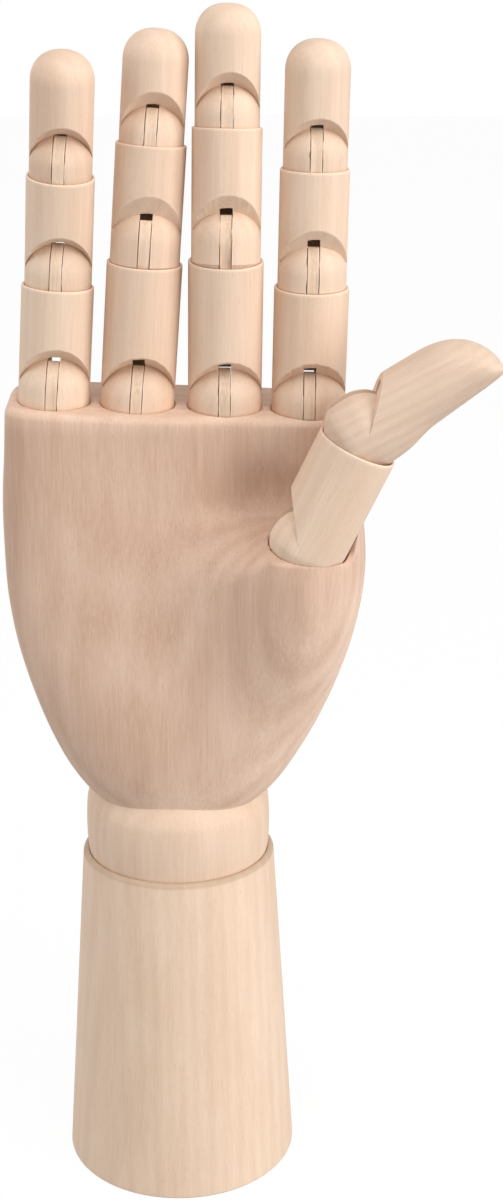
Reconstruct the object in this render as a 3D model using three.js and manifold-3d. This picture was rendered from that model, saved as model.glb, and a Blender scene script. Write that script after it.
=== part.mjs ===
// Jointed wooden artist's hand on a turned base: a right hand, its palm to the front.
// Millimetres, +Z up, palm towards -Y, thumb towards +X, origin under the centre of the base.
import * as THREE from 'three'
import { mergeVertices } from 'three/addons/utils/BufferGeometryUtils.js'
import Module from 'manifold-3d'

const wasm = await Module()
wasm.setup()

// Clearance between pieces that are glued or that slide on each other
const GAP = 0.3
const WRIST_GAP = 0.45
const CUP_GAP = 0.45

// Turned base
const BASE_RADIUS = 31
const BASE_TOP_RADIUS = 25.4
const BASE_HEIGHT = 89.9
const FOOT_CHAMFER = 0.7
const RIM_ROUND = 1.6

// Wrist: a turned barrel that rocks in a round cup above and below
const WRIST_HEIGHT = 97.5
const CUP_BALL_RADIUS = 25
const BARREL_RADIUS = 24.2
const BARREL_SIDE_ARC = 42
const BARREL_HALF_HEIGHT = 18
const SPRING_BORE = 8
const BORE_DEPTH = 58
const PALM_LEAN = 5

// Spring that pulls the palm down on the barrel, hooked on two screw eyes
const SPRING_RADIUS = 4.3
const SPRING_WIRE = 0.6
const SPRING_TURNS = 6
const COIL_HALF_LENGTH = 43
const HOOK_RADIUS = 2.2
const EYE_RADIUS = 3.2
const EYE_WIRE = 1.1
const EYE_DISTANCE = 52.9
const SHANK_RADIUS = 1.2
const SHANK_LENGTH = 15

// Knuckles, in shares of the radius of the piece that turns in them
const NOTCH_SLOPE = 52
const NOTCH_FORWARD = 0.12
const TONGUE_REACH = 0.93
const SLOT_REACH = 1.03
const TENON_HALF_WIDTH = 0.5
const PIN_HALF_LENGTH = 0.8

// Knuckles, in millimetres
const SLOT_WIDTH = 3
const TONGUE_THICKNESS = 2.5
const TENON_DEPTH = 5
const PIN_RADIUS = 0.75
const DOME_STEP = 0.1

// Fingers: place of the first knuckle on the palm, sideways lean, then from the palm outwards the
// radius of each piece, its length from its pin to its far end, the height of its pin above the
// rim below as a share of its radius, and its bend in the rest pose
const FINGERS = {
  little: {
    x: -28, rim: 115.4, lean: 4,
    radius: [8.6, 7.95, 7.3], length: [22.8, 21.4, 23.9], seat: [0.66, 0.6, 0.66], bend: [-2.6, 7.9, 2],
  },
  ring: {
    x: -7.9, rim: 114.7, lean: 4.2,
    radius: [8.95, 8.25, 7.55], length: [30.4, 19.8, 21.7], seat: [0.48, 0.93, 0.52], bend: [-1.6, -2.8, 2],
  },
  middle: {
    x: 13.05, rim: 114.1, lean: 0.8,
    radius: [8.9, 8.15, 7.5], length: [31.4, 23.2, 23], seat: [0.52, 0.9, 0.57], bend: [1.4, -8.1, 3],
  },
  index: {
    x: 33.3, rim: 113.3, lean: 1,
    radius: [8.9, 8.15, 7.5], length: [25.5, 21.6, 24.2], seat: [0.54, 0.73, 0.64], bend: [-0.6, -2, 2],
  },
}
const PIECES = ['lower', 'middle', 'tip']

// Thumb: it swings in a plane in front of the fingers, parallel to the palm
const THUMB_X = 33.5
const THUMB_FORWARD = 21
const THUMB_PIN_HEIGHT = 88
const THUMB_TILT = 25
const THUMB_BACK_BEND = -30
const THUMB = {
  radius: [9.6, 9], length: [25.6, 33.2], seat: [0.25, 0.61], slope: [57, 50], forward: [0.36, 0.05],
}
const THUMB_TIP_RADIUS = 7.4
const THUMB_PAD_START = 22
const THUMB_PAD_DEPTH = 6.6
const THUMB_PAD_CURVE = 11.5
const THUMB_BACK_DEPTH = 6.4
const THUMB_END_TRIM = 0.4
const THUMB_DOME = 0.35
const TIP_DOME = 0.92
const TIP_FULLNESS = 0.82

// Palm: stations from the wrist cup to the knuckles, in the leaned frame of the wrist centre
const PALM_STATIONS = [
  { height: 4, left: -12, right: 13, front: 10, back: 10, square: 2.2 },
  { height: 9, left: -19.5, right: 20.6, front: 16.6, back: 16, square: 2.2 },
  { height: 14, left: -24.4, right: 26, front: 20, back: 19.4, square: 2.3 },
  { height: 23, left: -29.7, right: 31.8, front: 21.8, back: 21, square: 2.4 },
  { height: 36, left: -34.9, right: 38, front: 21.8, back: 21.2, square: 2.6 },
  { height: 52, left: -39.4, right: 43.4, front: 20.2, back: 20.4, square: 2.8 },
  { height: 66, left: -41.5, right: 46.5, front: 17.8, back: 18.8, square: 3 },
  { height: 78, left: -41.9, right: 47.6, front: 15.8, back: 17, square: 3.2 },
  { height: 92, left: -41.6, right: 46.4, front: 13.8, back: 15.6, square: 4 },
  { height: 104, left: -40.5, right: 44.4, front: 12.6, back: 15.2, square: 5 },
  { height: 114.8, left: -39.7, right: 43, front: 12, back: 15.2, square: 6 },
]
const PALM_TOP = 114.8
const PALM_TOP_ROUND = 2
const PALM_TOP_SLOPE = 0.035
const PALM_TOP_RISE = 0.05
const PALM_EASE = 90

// Ball of the thumb on the palm, the shelf over it, and the shallow scoop that the thumb swings over
const MOUND_HEIGHT = 18.5
const MOUND_X = 35.5
const MOUND_SPREAD = [23, 34]
const MOUND_RISE = [20, 82]
const SHELF_HEIGHT = 84
const SHELF_FALL = 0.5
const SHELF_SOFTNESS = 7
const SCOOP_DEPTH = 1.6
const SCOOP_ACROSS = [0, 14]
const SCOOP_RISE = [86, 95]
const THUMB_WAY = [-13, 1, 15, 29]
const THUMB_WAY_LENGTH = 40

// Facets: one turn of a finger, of a large turned piece, and the rings of a ball from pole to pole
const TURN_SIDES = 16
const LARGE_TURN_SIDES = 32
const BALL_RINGS = 8
const CUP_RINGS = 14
const PALM_FRONT_SIDES = 22
const PALM_BACK_SIDES = 12

// Woods and steel
const paleWood = new THREE.MeshStandardMaterial({ color: 0xe3c7a4, roughness: 0.62, metalness: 0 })
const pinkWood = new THREE.MeshStandardMaterial({ color: 0xcfa888, roughness: 0.6, metalness: 0 })
const slatWood = new THREE.MeshStandardMaterial({ color: 0xdcbd98, roughness: 0.66, metalness: 0 })
const steel = new THREE.MeshStandardMaterial({ color: 0x9a9ca0, roughness: 0.35, metalness: 1 })

const radians = THREE.MathUtils.degToRad
const smooth = THREE.MathUtils.smoothstep

// A closed manifold solid of a three.js geometry, turned outside out where its faces point inwards
function solid(geometry) {
  const bare = geometry.clone()
  bare.deleteAttribute('normal')
  bare.deleteAttribute('uv')
  const welded = mergeVertices(bare, 1e-4)
  const place = welded.attributes.position
  const corners = welded.index.array
  const triangles = []
  let volume = 0
  const a = new THREE.Vector3()
  const b = new THREE.Vector3()
  const c = new THREE.Vector3()
  for (let i = 0; i < corners.length; i += 3) {
    const [p, q, r] = corners.slice(i, i + 3)
    if (p === q || q === r || r === p) {
      continue
    }
    triangles.push([p, q, r])
    a.fromBufferAttribute(place, p)
    b.fromBufferAttribute(place, q)
    c.fromBufferAttribute(place, r)
    volume += a.dot(b.cross(c))
  }
  const ordered = volume < 0 ? triangles.map(([p, q, r]) => [p, r, q]) : triangles
  return new wasm.Manifold(new wasm.Mesh({
    numProp: 3,
    vertProperties: new Float32Array(place.array),
    triVerts: new Uint32Array(ordered.flat()),
  }))
}

// A named three.js mesh of a manifold solid, with flat facets
function piece(name, body, material) {
  const made = body.getMesh()
  const geometry = new THREE.BufferGeometry()
  geometry.setAttribute('position', new THREE.BufferAttribute(new Float32Array(made.vertProperties), 3))
  geometry.setIndex(new THREE.BufferAttribute(new Uint32Array(made.triVerts), 1))
  geometry.computeVertexNormals()
  const mesh = new THREE.Mesh(geometry, material)
  mesh.name = name
  return mesh
}

// A profile of radius and height pairs, turned about +Z
function turned(profile, sides = TURN_SIDES) {
  const points = profile.map(([radius, height]) => new THREE.Vector2(radius, height))
  return new THREE.LatheGeometry(points, sides).rotateX(Math.PI / 2)
}

// Points of an arc about (0, height) as radius and height pairs, angles in degrees from the horizontal
function arc(radius, height, start, end, steps) {
  return Array.from({ length: steps + 1 }, (_, i) => {
    const angle = radians(start + (end - start) * i / steps)
    return [Math.max(0, radius * Math.cos(angle)), height + radius * Math.sin(angle)]
  })
}

// An outline of Y and Z pairs, given a thickness along X and centred on X = 0
function slab(outline, thickness) {
  const shape = new THREE.Shape(outline.map(([y, z]) => new THREE.Vector2(y, z)))
  const made = new THREE.ExtrudeGeometry(shape, { depth: thickness, bevelEnabled: false })
  const sideways = new THREE.Matrix4().makeBasis(
    new THREE.Vector3(0, 1, 0),
    new THREE.Vector3(0, 0, 1),
    new THREE.Vector3(1, 0, 0),
  )
  return made.translate(0, 0, -thickness / 2).applyMatrix4(sideways)
}

// A ball about the origin, its poles on Z
function ball(radius, sides = TURN_SIDES, rings = BALL_RINGS) {
  return turned(arc(radius, 0, -90, 90, rings), sides)
}

// A block between two heights, centred on Z
function block(width, depth, low, high) {
  return new THREE.BoxGeometry(width, depth, high - low).translate(0, 0, (low + high) / 2)
}

// A rod along X, centred on the origin
function rod(radius, length) {
  return new THREE.CylinderGeometry(radius, radius, length, 8).rotateZ(Math.PI / 2)
}

// Radius of the round end of a piece about its pin: it reaches the rim below at full width
const endRadius = (radius, seat) => radius * Math.hypot(1, seat)

// The mortise for the tongue of a knuckle, about the pin of that knuckle
function mortise(radius, seat) {
  const bottom = -endRadius(radius, seat) - TENON_DEPTH - 2 * GAP
  return block(SLOT_WIDTH, 2 * (TENON_HALF_WIDTH * radius + GAP), bottom, 0)
}

// Tongue of a knuckle: a slat with a round head about the pin and a tenon glued in the piece below
function tongue(name, radius, seat) {
  const head = TONGUE_REACH * radius
  const half = TENON_HALF_WIDTH * radius
  const foot = -endRadius(radius, seat) - TENON_DEPTH - GAP
  const turn = THREE.MathUtils.radToDeg(Math.acos(half / head))
  const outline = [[half, foot], ...arcFull(head, -turn, 180 + turn, 12), [-half, foot]]
  const hole = rod(PIN_RADIUS + GAP, 2 * SLOT_WIDTH)
  return piece(name, solid(slab(outline, TONGUE_THICKNESS)).subtract(solid(hole)), slatWood)
}

// Points of an arc about the origin, on both sides of the axis
function arcFull(radius, start, end, steps) {
  return Array.from({ length: steps + 1 }, (_, i) => {
    const angle = radians(start + (end - start) * i / steps)
    return [radius * Math.cos(angle), radius * Math.sin(angle)]
  })
}

// The front notch over a knuckle: everything before a sloping plane, down to the height of the pin,
// apart from the dome that stays about the pin
function notch(radius, slope, forward) {
  const rise = Math.tan(radians(slope))
  const far = radius + 2
  const start = -forward * radius
  const wedge = slab([[start, 0], [-far, (far + start) * rise], [-far, 0]], 2 * far)
  return solid(wedge).subtract(solid(ball(radius - DOME_STEP)))
}

// One piece of a finger about its pin: a round end, a straight side and a far end that is either a
// finger tip or a cup for the next piece
function phalanx(name, size) {
  const { radius, length, seat, next } = size
  const { slope = NOTCH_SLOPE, forward = NOTCH_FORWARD, topRadius = radius } = size
  const end = endRadius(radius, seat)
  const lowest = THREE.MathUtils.radToDeg(Math.atan(seat))
  const profile = arc(end, 0, -90, -lowest, 4)
  if (next) {
    const cup = endRadius(next.radius, next.seat) + CUP_GAP
    const cupCentre = length + next.seat * next.radius
    const mouth = THREE.MathUtils.radToDeg(Math.asin((length - cupCentre) / cup))
    profile.push([radius, length], ...arc(cup, cupCentre, mouth, -90, 4))
  } else {
    const dome = size.dome * topRadius
    const steps = [0, 18, 36, 54, 72, 90]
    for (const angle of steps) {
      const across = Math.max(0, Math.cos(radians(angle))) ** TIP_FULLNESS
      profile.push([topRadius * across, length - dome + dome * Math.sin(radians(angle))])
    }
  }
  let body = solid(turned(profile))
  body = body.subtract(notch(radius, slope, forward))
  body = body.subtract(solid(block(SLOT_WIDTH, 3 * radius, -2 * radius, SLOT_REACH * radius)))
  body = body.subtract(solid(rod(PIN_RADIUS + GAP, 2 * (PIN_HALF_LENGTH * radius + GAP))))
  if (next) {
    const pocket = mortise(next.radius, next.seat).translate(0, 0, length + next.seat * next.radius)
    body = body.subtract(solid(pocket))
  }
  if (size.shape) {
    body = body.intersect(solid(size.shape))
  }
  return piece(name, body, paleWood)
}

// Steel pin of a knuckle, hidden in the cheeks of the piece that turns on it
function pin(name, radius) {
  return piece(name, solid(rod(PIN_RADIUS, 2 * PIN_HALF_LENGTH * radius)), steel)
}

// A screw eye: a ring about the origin in the XZ plane, with its shank along -Z
function screwEye(name) {
  const ring = new THREE.TorusGeometry(EYE_RADIUS, EYE_WIRE, 6, 12).rotateX(Math.PI / 2)
  const shank = turned([
    [0, -EYE_RADIUS - SHANK_LENGTH],
    [SHANK_RADIUS, -EYE_RADIUS - SHANK_LENGTH + 2],
    [SHANK_RADIUS, -EYE_RADIUS],
    [0, -EYE_RADIUS],
  ], 8)
  return piece(name, solid(ring).add(solid(shank)), steel)
}

// The turned base, with the cup of the wrist, the spring's bore and the pilot hole of its screw eye
function makeBase() {
  const cup = CUP_BALL_RADIUS + WRIST_GAP
  const mouth = THREE.MathUtils.radToDeg(Math.asin((BASE_HEIGHT - WRIST_HEIGHT) / cup))
  const bore = -THREE.MathUtils.radToDeg(Math.acos(SPRING_BORE / cup))
  const floor = WRIST_HEIGHT - BORE_DEPTH
  const pilot = WRIST_HEIGHT - EYE_DISTANCE - EYE_RADIUS - SHANK_LENGTH - GAP
  const round = arc(RIM_ROUND, BASE_HEIGHT - RIM_ROUND, 5, 90, 3)
  const profile = [
    [0, 0],
    [BASE_RADIUS - FOOT_CHAMFER, 0],
    [BASE_RADIUS, FOOT_CHAMFER],
    ...round.map(([across, height]) => [BASE_TOP_RADIUS - RIM_ROUND + across, height]),
    ...arc(cup, WRIST_HEIGHT, mouth, bore, 5),
    [SPRING_BORE, floor],
    [SHANK_RADIUS + GAP, floor],
    [SHANK_RADIUS + GAP, pilot],
    [0, pilot],
  ]
  return piece('base', solid(turned(profile, LARGE_TURN_SIDES)), paleWood)
}

// The wrist barrel: gently curved sides between two round ends, with the spring's bore through it
function makeBarrel() {
  const rows = 10
  const profile = []
  for (let i = 0; i <= rows; i += 1) {
    const height = BARREL_HALF_HEIGHT * (2 * i / rows - 1)
    const side = BARREL_RADIUS - height * height / (2 * BARREL_SIDE_ARC)
    profile.push([Math.min(side, Math.sqrt(CUP_BALL_RADIUS ** 2 - height * height)), height])
  }
  profile.push([SPRING_BORE, BARREL_HALF_HEIGHT], [SPRING_BORE, -BARREL_HALF_HEIGHT], profile[0])
  return piece('wrist_barrel', solid(turned(profile, LARGE_TURN_SIDES)), paleWood)
}

// A value of the palm's stations at a height, on a smooth curve through them
function station(key, height) {
  const last = PALM_STATIONS.length - 1
  const after = PALM_STATIONS.findIndex((row) => row.height >= height)
  const i = Math.min(Math.max(after, 1), last)
  const rows = [i - 2, i - 1, i, i + 1].map((n) => PALM_STATIONS[Math.min(Math.max(n, 0), last)])
  const [before, low, high, beyond] = rows
  const span = high.height - low.height
  const share = (height - low.height) / span
  const lowSlope = (high[key] - before[key]) / (high.height - before.height) * span
  const highSlope = (beyond[key] - low[key]) / (beyond.height - low.height) * span
  const drop = 1 - share
  const curve = low[key] * (1 + 2 * share) * drop * drop + high[key] * share * share * (3 - 2 * share)
  return curve + lowSlope * share * drop * drop - highSlope * share * share * drop
}

// How far the ball of the thumb stands before the palm, less the shallow scoop that the thumb swings over
function relief(x, height) {
  const across = Math.exp(-(((x - MOUND_X) / MOUND_SPREAD[x < MOUND_X ? 0 : 1]) ** 2))
  const shelf = SHELF_HEIGHT - SHELF_FALL * Math.max(0, THUMB_X - x - THUMB.radius[0])
  const below = 1 - smooth(height, shelf, shelf + SHELF_SOFTNESS)
  const mound = MOUND_HEIGHT * across * smooth(height, ...MOUND_RISE) * below
  const scoop = SCOOP_DEPTH * smooth(x, ...SCOOP_ACROSS) * smooth(height, ...SCOOP_RISE)
  return mound - scoop
}

// The carved palm as a loft of rounded sections, open at no side
function palmBlank() {
  const heights = []
  for (let height = 4; height < 76; height += 6) {
    heights.push(height)
  }
  for (let height = 76; height < 94; height += 3) {
    heights.push(height)
  }
  heights.push(95, 103)
  for (const angle of [0, 30, 60, 90]) {
    heights.push(PALM_TOP - PALM_TOP_ROUND * (1 - Math.sin(radians(angle))))
  }
  const angles = []
  for (let i = 0; i < PALM_BACK_SIDES; i += 1) {
    angles.push(Math.PI * i / PALM_BACK_SIDES)
  }
  for (let i = 0; i < PALM_FRONT_SIDES; i += 1) {
    angles.push(Math.PI * (1 + i / PALM_FRONT_SIDES))
  }
  const places = []
  for (const height of heights) {
    const roundness = Math.max(0, (height - PALM_TOP) / PALM_TOP_ROUND + 1)
    const inset = PALM_TOP_ROUND * (1 - Math.sqrt(Math.max(0, 1 - roundness * roundness)))
    const left = station('left', height) + inset
    const right = station('right', height) - inset
    const square = station('square', height)
    const ease = smooth(height, PALM_EASE, PALM_TOP)
    for (const angle of angles) {
      const cosine = Math.cos(angle)
      const sine = Math.sin(angle)
      const reach = (Math.abs(cosine) ** square + Math.abs(sine) ** square) ** (-1 / square)
      const deep = reach * Math.abs(sine)
      const x = (left + right) / 2 + reach * cosine * (right - left) / 2
      const carved = relief(x, height) * deep ** (0.2 * square)
      const front = -deep * (station('front', height) - inset) - carved
      const back = deep * (station('back', height) - inset)
      const y = sine < 0 ? front : back
      places.push(x, y, height + ease * (PALM_TOP_RISE * Math.max(0, y) - PALM_TOP_SLOPE * x))
    }
  }
  return loft(places, heights.length, angles.length)
}

// A closed surface through rings of points, with a fan over the first and the last ring
function loft(places, rings, sides) {
  const corners = []
  const at = (ring, side) => ring * sides + side % sides
  for (let ring = 0; ring + 1 < rings; ring += 1) {
    for (let side = 0; side < sides; side += 1) {
      corners.push(at(ring, side), at(ring, side + 1), at(ring + 1, side + 1))
      corners.push(at(ring, side), at(ring + 1, side + 1), at(ring + 1, side))
    }
  }
  for (const ring of [0, rings - 1]) {
    const middle = new THREE.Vector3()
    for (let side = 0; side < sides; side += 1) {
      middle.add(new THREE.Vector3().fromArray(places, 3 * at(ring, side)))
    }
    const centre = places.push(...middle.divideScalar(sides).toArray()) / 3 - 1
    for (let side = 0; side < sides; side += 1) {
      const edge = [at(ring, side), at(ring, side + 1)]
      corners.push(centre, ...(ring === 0 ? edge.reverse() : edge))
    }
  }
  const geometry = new THREE.BufferGeometry()
  geometry.setAttribute('position', new THREE.Float32BufferAttribute(places, 3))
  geometry.setIndex(corners)
  return geometry
}

// Frame of a finger's first knuckle on the palm: its pin is the origin and the finger points along +Z
function fingerFrame(finger) {
  const frame = new THREE.Matrix4().makeRotationY(radians(finger.lean))
  return frame.setPosition(finger.x, 0, finger.rim + finger.seat[0] * finger.radius[0])
}

// Frame of the thumb's first knuckle: the thumb points along +Z and bends towards the palm about +X
function thumbFrame() {
  const frame = new THREE.Matrix4().makeRotationY(radians(THUMB_TILT))
  frame.multiply(new THREE.Matrix4().makeRotationZ(-Math.PI / 2))
  return frame.setPosition(THUMB_X, -THUMB_FORWARD, THUMB_PIN_HEIGHT)
}

// The palm with its cups, mortises, the wrist cup, the spring's bore and the thumb's way
function makePalm() {
  let body = solid(palmBlank())
  const cut = (geometry, frame) => {
    body = body.subtract(solid(geometry.applyMatrix4(frame)))
  }
  const upright = new THREE.Matrix4()
  cut(ball(CUP_BALL_RADIUS + WRIST_GAP, LARGE_TURN_SIDES, CUP_RINGS), upright)
  cut(turned([[0, 0], [SPRING_BORE, 0], [SPRING_BORE, BORE_DEPTH], [0, BORE_DEPTH]], 12), upright)
  const pilot = EYE_DISTANCE + EYE_RADIUS + SHANK_LENGTH + GAP
  cut(turned([[0, 0], [SHANK_RADIUS + GAP, 0], [SHANK_RADIUS + GAP, pilot], [0, pilot]], 8), upright)
  for (const finger of Object.values(FINGERS)) {
    const frame = fingerFrame(finger)
    cut(ball(endRadius(finger.radius[0], finger.seat[0]) + CUP_GAP), frame)
    cut(mortise(finger.radius[0], finger.seat[0]), frame)
  }
  const frame = thumbFrame()
  cut(ball(endRadius(THUMB.radius[0], THUMB.seat[0]) + CUP_GAP), frame)
  cut(mortise(THUMB.radius[0], THUMB.seat[0]), new THREE.Matrix4().copyPosition(frame).multiply(
    new THREE.Matrix4().makeRotationZ(-Math.PI / 2)))
  const way = THUMB.radius[0] + 2 * GAP
  const swept = turned([[0, 0], [way, 0], [way, THUMB_WAY_LENGTH], [0, THUMB_WAY_LENGTH]], 12)
  for (const turn of THUMB_WAY) {
    cut(swept.clone(), frame.clone().multiply(new THREE.Matrix4().makeRotationX(radians(turn))))
  }
  return piece('palm', body, pinkWood)
}

// The spring about the midpoint of its two hooks, one unbroken wire along Z
function makeSpring(hookDistance) {
  const points = []
  const hook = (end) => {
    const turns = [300, 260, 220, 180, 140, 100, 60, 20]
    return turns.map((turn) => new THREE.Vector3(
      0,
      HOOK_RADIUS * Math.sin(radians(turn)),
      end * (hookDistance - HOOK_RADIUS * Math.cos(radians(turn))),
    ))
  }
  points.push(...hook(-1))
  const steps = SPRING_TURNS * 8
  for (let i = 0; i <= steps; i += 1) {
    const angle = 2 * Math.PI * i / 8
    const height = COIL_HALF_LENGTH * (2 * i / steps - 1)
    points.push(new THREE.Vector3(SPRING_RADIUS * Math.cos(angle), SPRING_RADIUS * Math.sin(angle), height))
  }
  points.push(...hook(1).reverse())
  const path = new THREE.CatmullRomCurve3(points, false, 'centripetal')
  const section = new THREE.Shape(arcFull(SPRING_WIRE, 0, 288, 4).map(([x, y]) => new THREE.Vector2(x, y)))
  const wire = new THREE.ExtrudeGeometry(section, {
    steps: points.length - 1,
    bevelEnabled: false,
    extrudePath: path,
  })
  console.log(`wrist spring, least gap between its turns: ${leastGap(path).toFixed(2)} mm`)
  return piece('wrist_spring', solid(wire), steel)
}

// Least gap between stretches of a wire that are more than one wire turn apart along it
function leastGap(path) {
  const places = path.getSpacedPoints(900)
  const step = path.getLength() / 900
  const apart = Math.ceil(4 * Math.PI * SPRING_WIRE / step)
  let least = Infinity
  for (let i = 0; i < places.length; i += 1) {
    for (let j = i + apart; j < places.length; j += 1) {
      least = Math.min(least, places[i].distanceTo(places[j]))
    }
  }
  return least - 2 * SPRING_WIRE
}

// The outline that shapes the thumb's tip: a pad that curves over to the end, and a straight back
function thumbTipShape() {
  const end = THUMB.length[1]
  const half = 2 * THUMB.radius[1]
  const pad = Array.from({ length: 9 }, (_, i) => {
    const angle = radians(90 * i / 8)
    const depth = THUMB_PAD_CURVE * (1 - Math.cos(angle)) - THUMB_PAD_DEPTH
    return [depth, THUMB_PAD_START + (end - THUMB_PAD_START) * Math.sin(angle)]
  })
  const trim = end - THUMB_END_TRIM
  const outline = [[half, -half], [half, trim], [THUMB_BACK_DEPTH, trim], ...pad.reverse()]
  return slab([...outline, [-half, THUMB_PAD_START - 20], [-half, -half]], 4 * half)
}

// One joint group inside another: the pin of a knuckle is its origin, its bend is about X
function knuckle(name, bend) {
  const group = new THREE.Group()
  group.name = name
  group.rotation.x = radians(bend)
  return group
}

// A finger with its tongues and pins, its first tongue left on the palm
function addFinger(parent, name, finger) {
  const socket = new THREE.Group()
  socket.name = `${name}_socket`
  fingerFrame(finger).decompose(socket.position, socket.quaternion, socket.scale)
  parent.add(socket)
  let holder = socket
  finger.radius.forEach((radius, i) => {
    const seat = finger.seat[i]
    const next = finger.radius[i + 1] && { radius: finger.radius[i + 1], seat: finger.seat[i + 1] }
    const title = `${name}_${PIECES[i]}`
    holder.add(tongue(`${title}_tongue`, radius, seat))
    const turning = knuckle(`${title}_joint`, finger.bend[i])
    turning.add(phalanx(title, { radius, seat, next, length: finger.length[i], dome: TIP_DOME }))
    turning.add(pin(`${title}_pin`, radius))
    holder.add(turning)
    if (next) {
      const seatFrame = new THREE.Group()
      seatFrame.position.z = finger.length[i] + next.seat * next.radius
      turning.add(seatFrame)
      holder = seatFrame
    }
  })
}

// The thumb, whose first tongue stands upright in the palm
function addThumb(parent) {
  const socket = new THREE.Group()
  socket.name = 'thumb_socket'
  socket.position.set(THUMB_X, -THUMB_FORWARD, THUMB_PIN_HEIGHT)
  socket.rotation.z = -Math.PI / 2
  parent.add(socket)
  socket.add(tongue('thumb_lower_tongue', THUMB.radius[0], THUMB.seat[0]))
  const lower = knuckle('thumb_lower_joint', -THUMB_TILT)
  const next = { radius: THUMB.radius[1], seat: THUMB.seat[1] }
  const [slope, tipSlope] = THUMB.slope
  const [forward, tipForward] = THUMB.forward
  const lowerSize = { radius: THUMB.radius[0], seat: THUMB.seat[0], length: THUMB.length[0] }
  lower.add(phalanx('thumb_lower', { ...lowerSize, next, slope, forward }))
  lower.add(pin('thumb_lower_pin', THUMB.radius[0]))
  socket.add(lower)
  const seatFrame = new THREE.Group()
  seatFrame.position.z = THUMB.length[0] + next.seat * next.radius
  lower.add(seatFrame)
  seatFrame.add(tongue('thumb_tip_tongue', next.radius, next.seat))
  const upper = knuckle('thumb_tip_joint', THUMB_BACK_BEND)
  const shape = thumbTipShape()
  const tipSize = { ...next, length: THUMB.length[1], slope: tipSlope, forward: tipForward }
  upper.add(phalanx('thumb_tip', { ...tipSize, topRadius: THUMB_TIP_RADIUS, dome: THUMB_DOME, shape }))
  upper.add(pin('thumb_tip_pin', next.radius))
  seatFrame.add(upper)
}

// The whole object
const group = new THREE.Group()
group.name = 'artist_hand'
group.add(makeBase())

const baseEye = screwEye('base_screw_eye')
baseEye.position.z = WRIST_HEIGHT - EYE_DISTANCE
group.add(baseEye)

const barrel = makeBarrel()
barrel.position.z = WRIST_HEIGHT
barrel.rotation.x = radians(PALM_LEAN / 2)
group.add(barrel)

const hand = new THREE.Group()
hand.name = 'wrist_flex'
hand.position.z = WRIST_HEIGHT
hand.rotation.x = radians(PALM_LEAN)
group.add(hand)
hand.add(makePalm())

const palmEye = screwEye('palm_screw_eye')
palmEye.position.z = EYE_DISTANCE
palmEye.rotation.x = Math.PI
hand.add(palmEye)

// The spring runs between the near wires of the two eyes
const eyeWire = EYE_DISTANCE - EYE_RADIUS
const halfLean = radians(PALM_LEAN / 2)
const spring = makeSpring(eyeWire * Math.cos(halfLean))
spring.position.y = -eyeWire * Math.sin(2 * halfLean) / 2
spring.position.z = WRIST_HEIGHT - eyeWire * (1 - Math.cos(2 * halfLean)) / 2
spring.rotation.x = halfLean
group.add(spring)

for (const [name, finger] of Object.entries(FINGERS)) {
  addFinger(hand, name, finger)
}
addThumb(hand)

export default group
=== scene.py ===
# %% [markdown]
# # A jointed wooden artist's hand
# This lesson dresses a drawing model: a right hand of bare wood with jointed fingers, on a carved palm
# that rocks on a barrel wrist over a turned base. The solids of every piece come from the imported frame.
# Here each piece is made once more as a smooth surface that numpy works out, because wood under soft
# light shows every facet. All shapes are worked out in millimetres and are written into the meshes in
# metres.

import math

import bmesh
import bpy
import numpy as np
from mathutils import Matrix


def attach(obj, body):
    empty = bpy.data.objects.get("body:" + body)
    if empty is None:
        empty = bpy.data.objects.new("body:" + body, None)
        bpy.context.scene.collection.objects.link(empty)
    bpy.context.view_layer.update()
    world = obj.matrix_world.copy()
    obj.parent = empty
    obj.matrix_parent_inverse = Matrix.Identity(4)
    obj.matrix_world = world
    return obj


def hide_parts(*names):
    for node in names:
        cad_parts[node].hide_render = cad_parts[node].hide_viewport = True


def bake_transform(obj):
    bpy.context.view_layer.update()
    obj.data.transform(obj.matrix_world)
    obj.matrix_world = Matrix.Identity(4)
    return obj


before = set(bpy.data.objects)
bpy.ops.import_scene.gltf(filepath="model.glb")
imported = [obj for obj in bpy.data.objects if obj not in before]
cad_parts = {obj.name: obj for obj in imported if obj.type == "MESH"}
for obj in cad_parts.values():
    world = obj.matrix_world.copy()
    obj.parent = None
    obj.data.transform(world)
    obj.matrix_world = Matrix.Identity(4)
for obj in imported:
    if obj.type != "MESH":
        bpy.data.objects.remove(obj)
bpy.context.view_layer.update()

# %% [markdown]
# ## Camera
# A camera is easiest to set first, because every later look depends on it. The photograph looks slightly
# down on the hand, so the camera stands above the finger tips and is pitched down. A lens of 57 mm on a
# 36 mm sensor gives the mild perspective of a product picture: the base's rim is still seen as a narrow
# ellipse.

# %% Camera
CAMERA_PLACE = (0.0195, -0.4625, 0.3114)
CAMERA_PITCH = 18.31
LENS = 57.0
SENSOR = 36.0
camera_data = bpy.data.cameras.new("studio_camera")
camera_data.lens = LENS
camera_data.sensor_width = SENSOR
camera_data.sensor_fit = "AUTO"
camera = bpy.data.objects.new("studio_camera", camera_data)
camera.location = CAMERA_PLACE
camera.rotation_euler = (math.radians(90.0 - CAMERA_PITCH), 0.0, 0.0)
bpy.context.scene.collection.objects.link(camera)
bpy.context.scene.camera = camera
print("camera at", CAMERA_PLACE, "pitched down by", CAMERA_PITCH)

# %% [markdown]
# ## Sizes
# A turned toy is described by a few radii and lengths. Each finger piece turns on a pin in its round
# lower end. Its length runs from that pin to its far end, and its seat says how high the pin stands over
# the rim of the piece below, as a share of its radius. The bends are those of the hand at rest. Slots and
# the tongues in them have half widths in millimetres. Their heights are shares of the radius.

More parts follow.
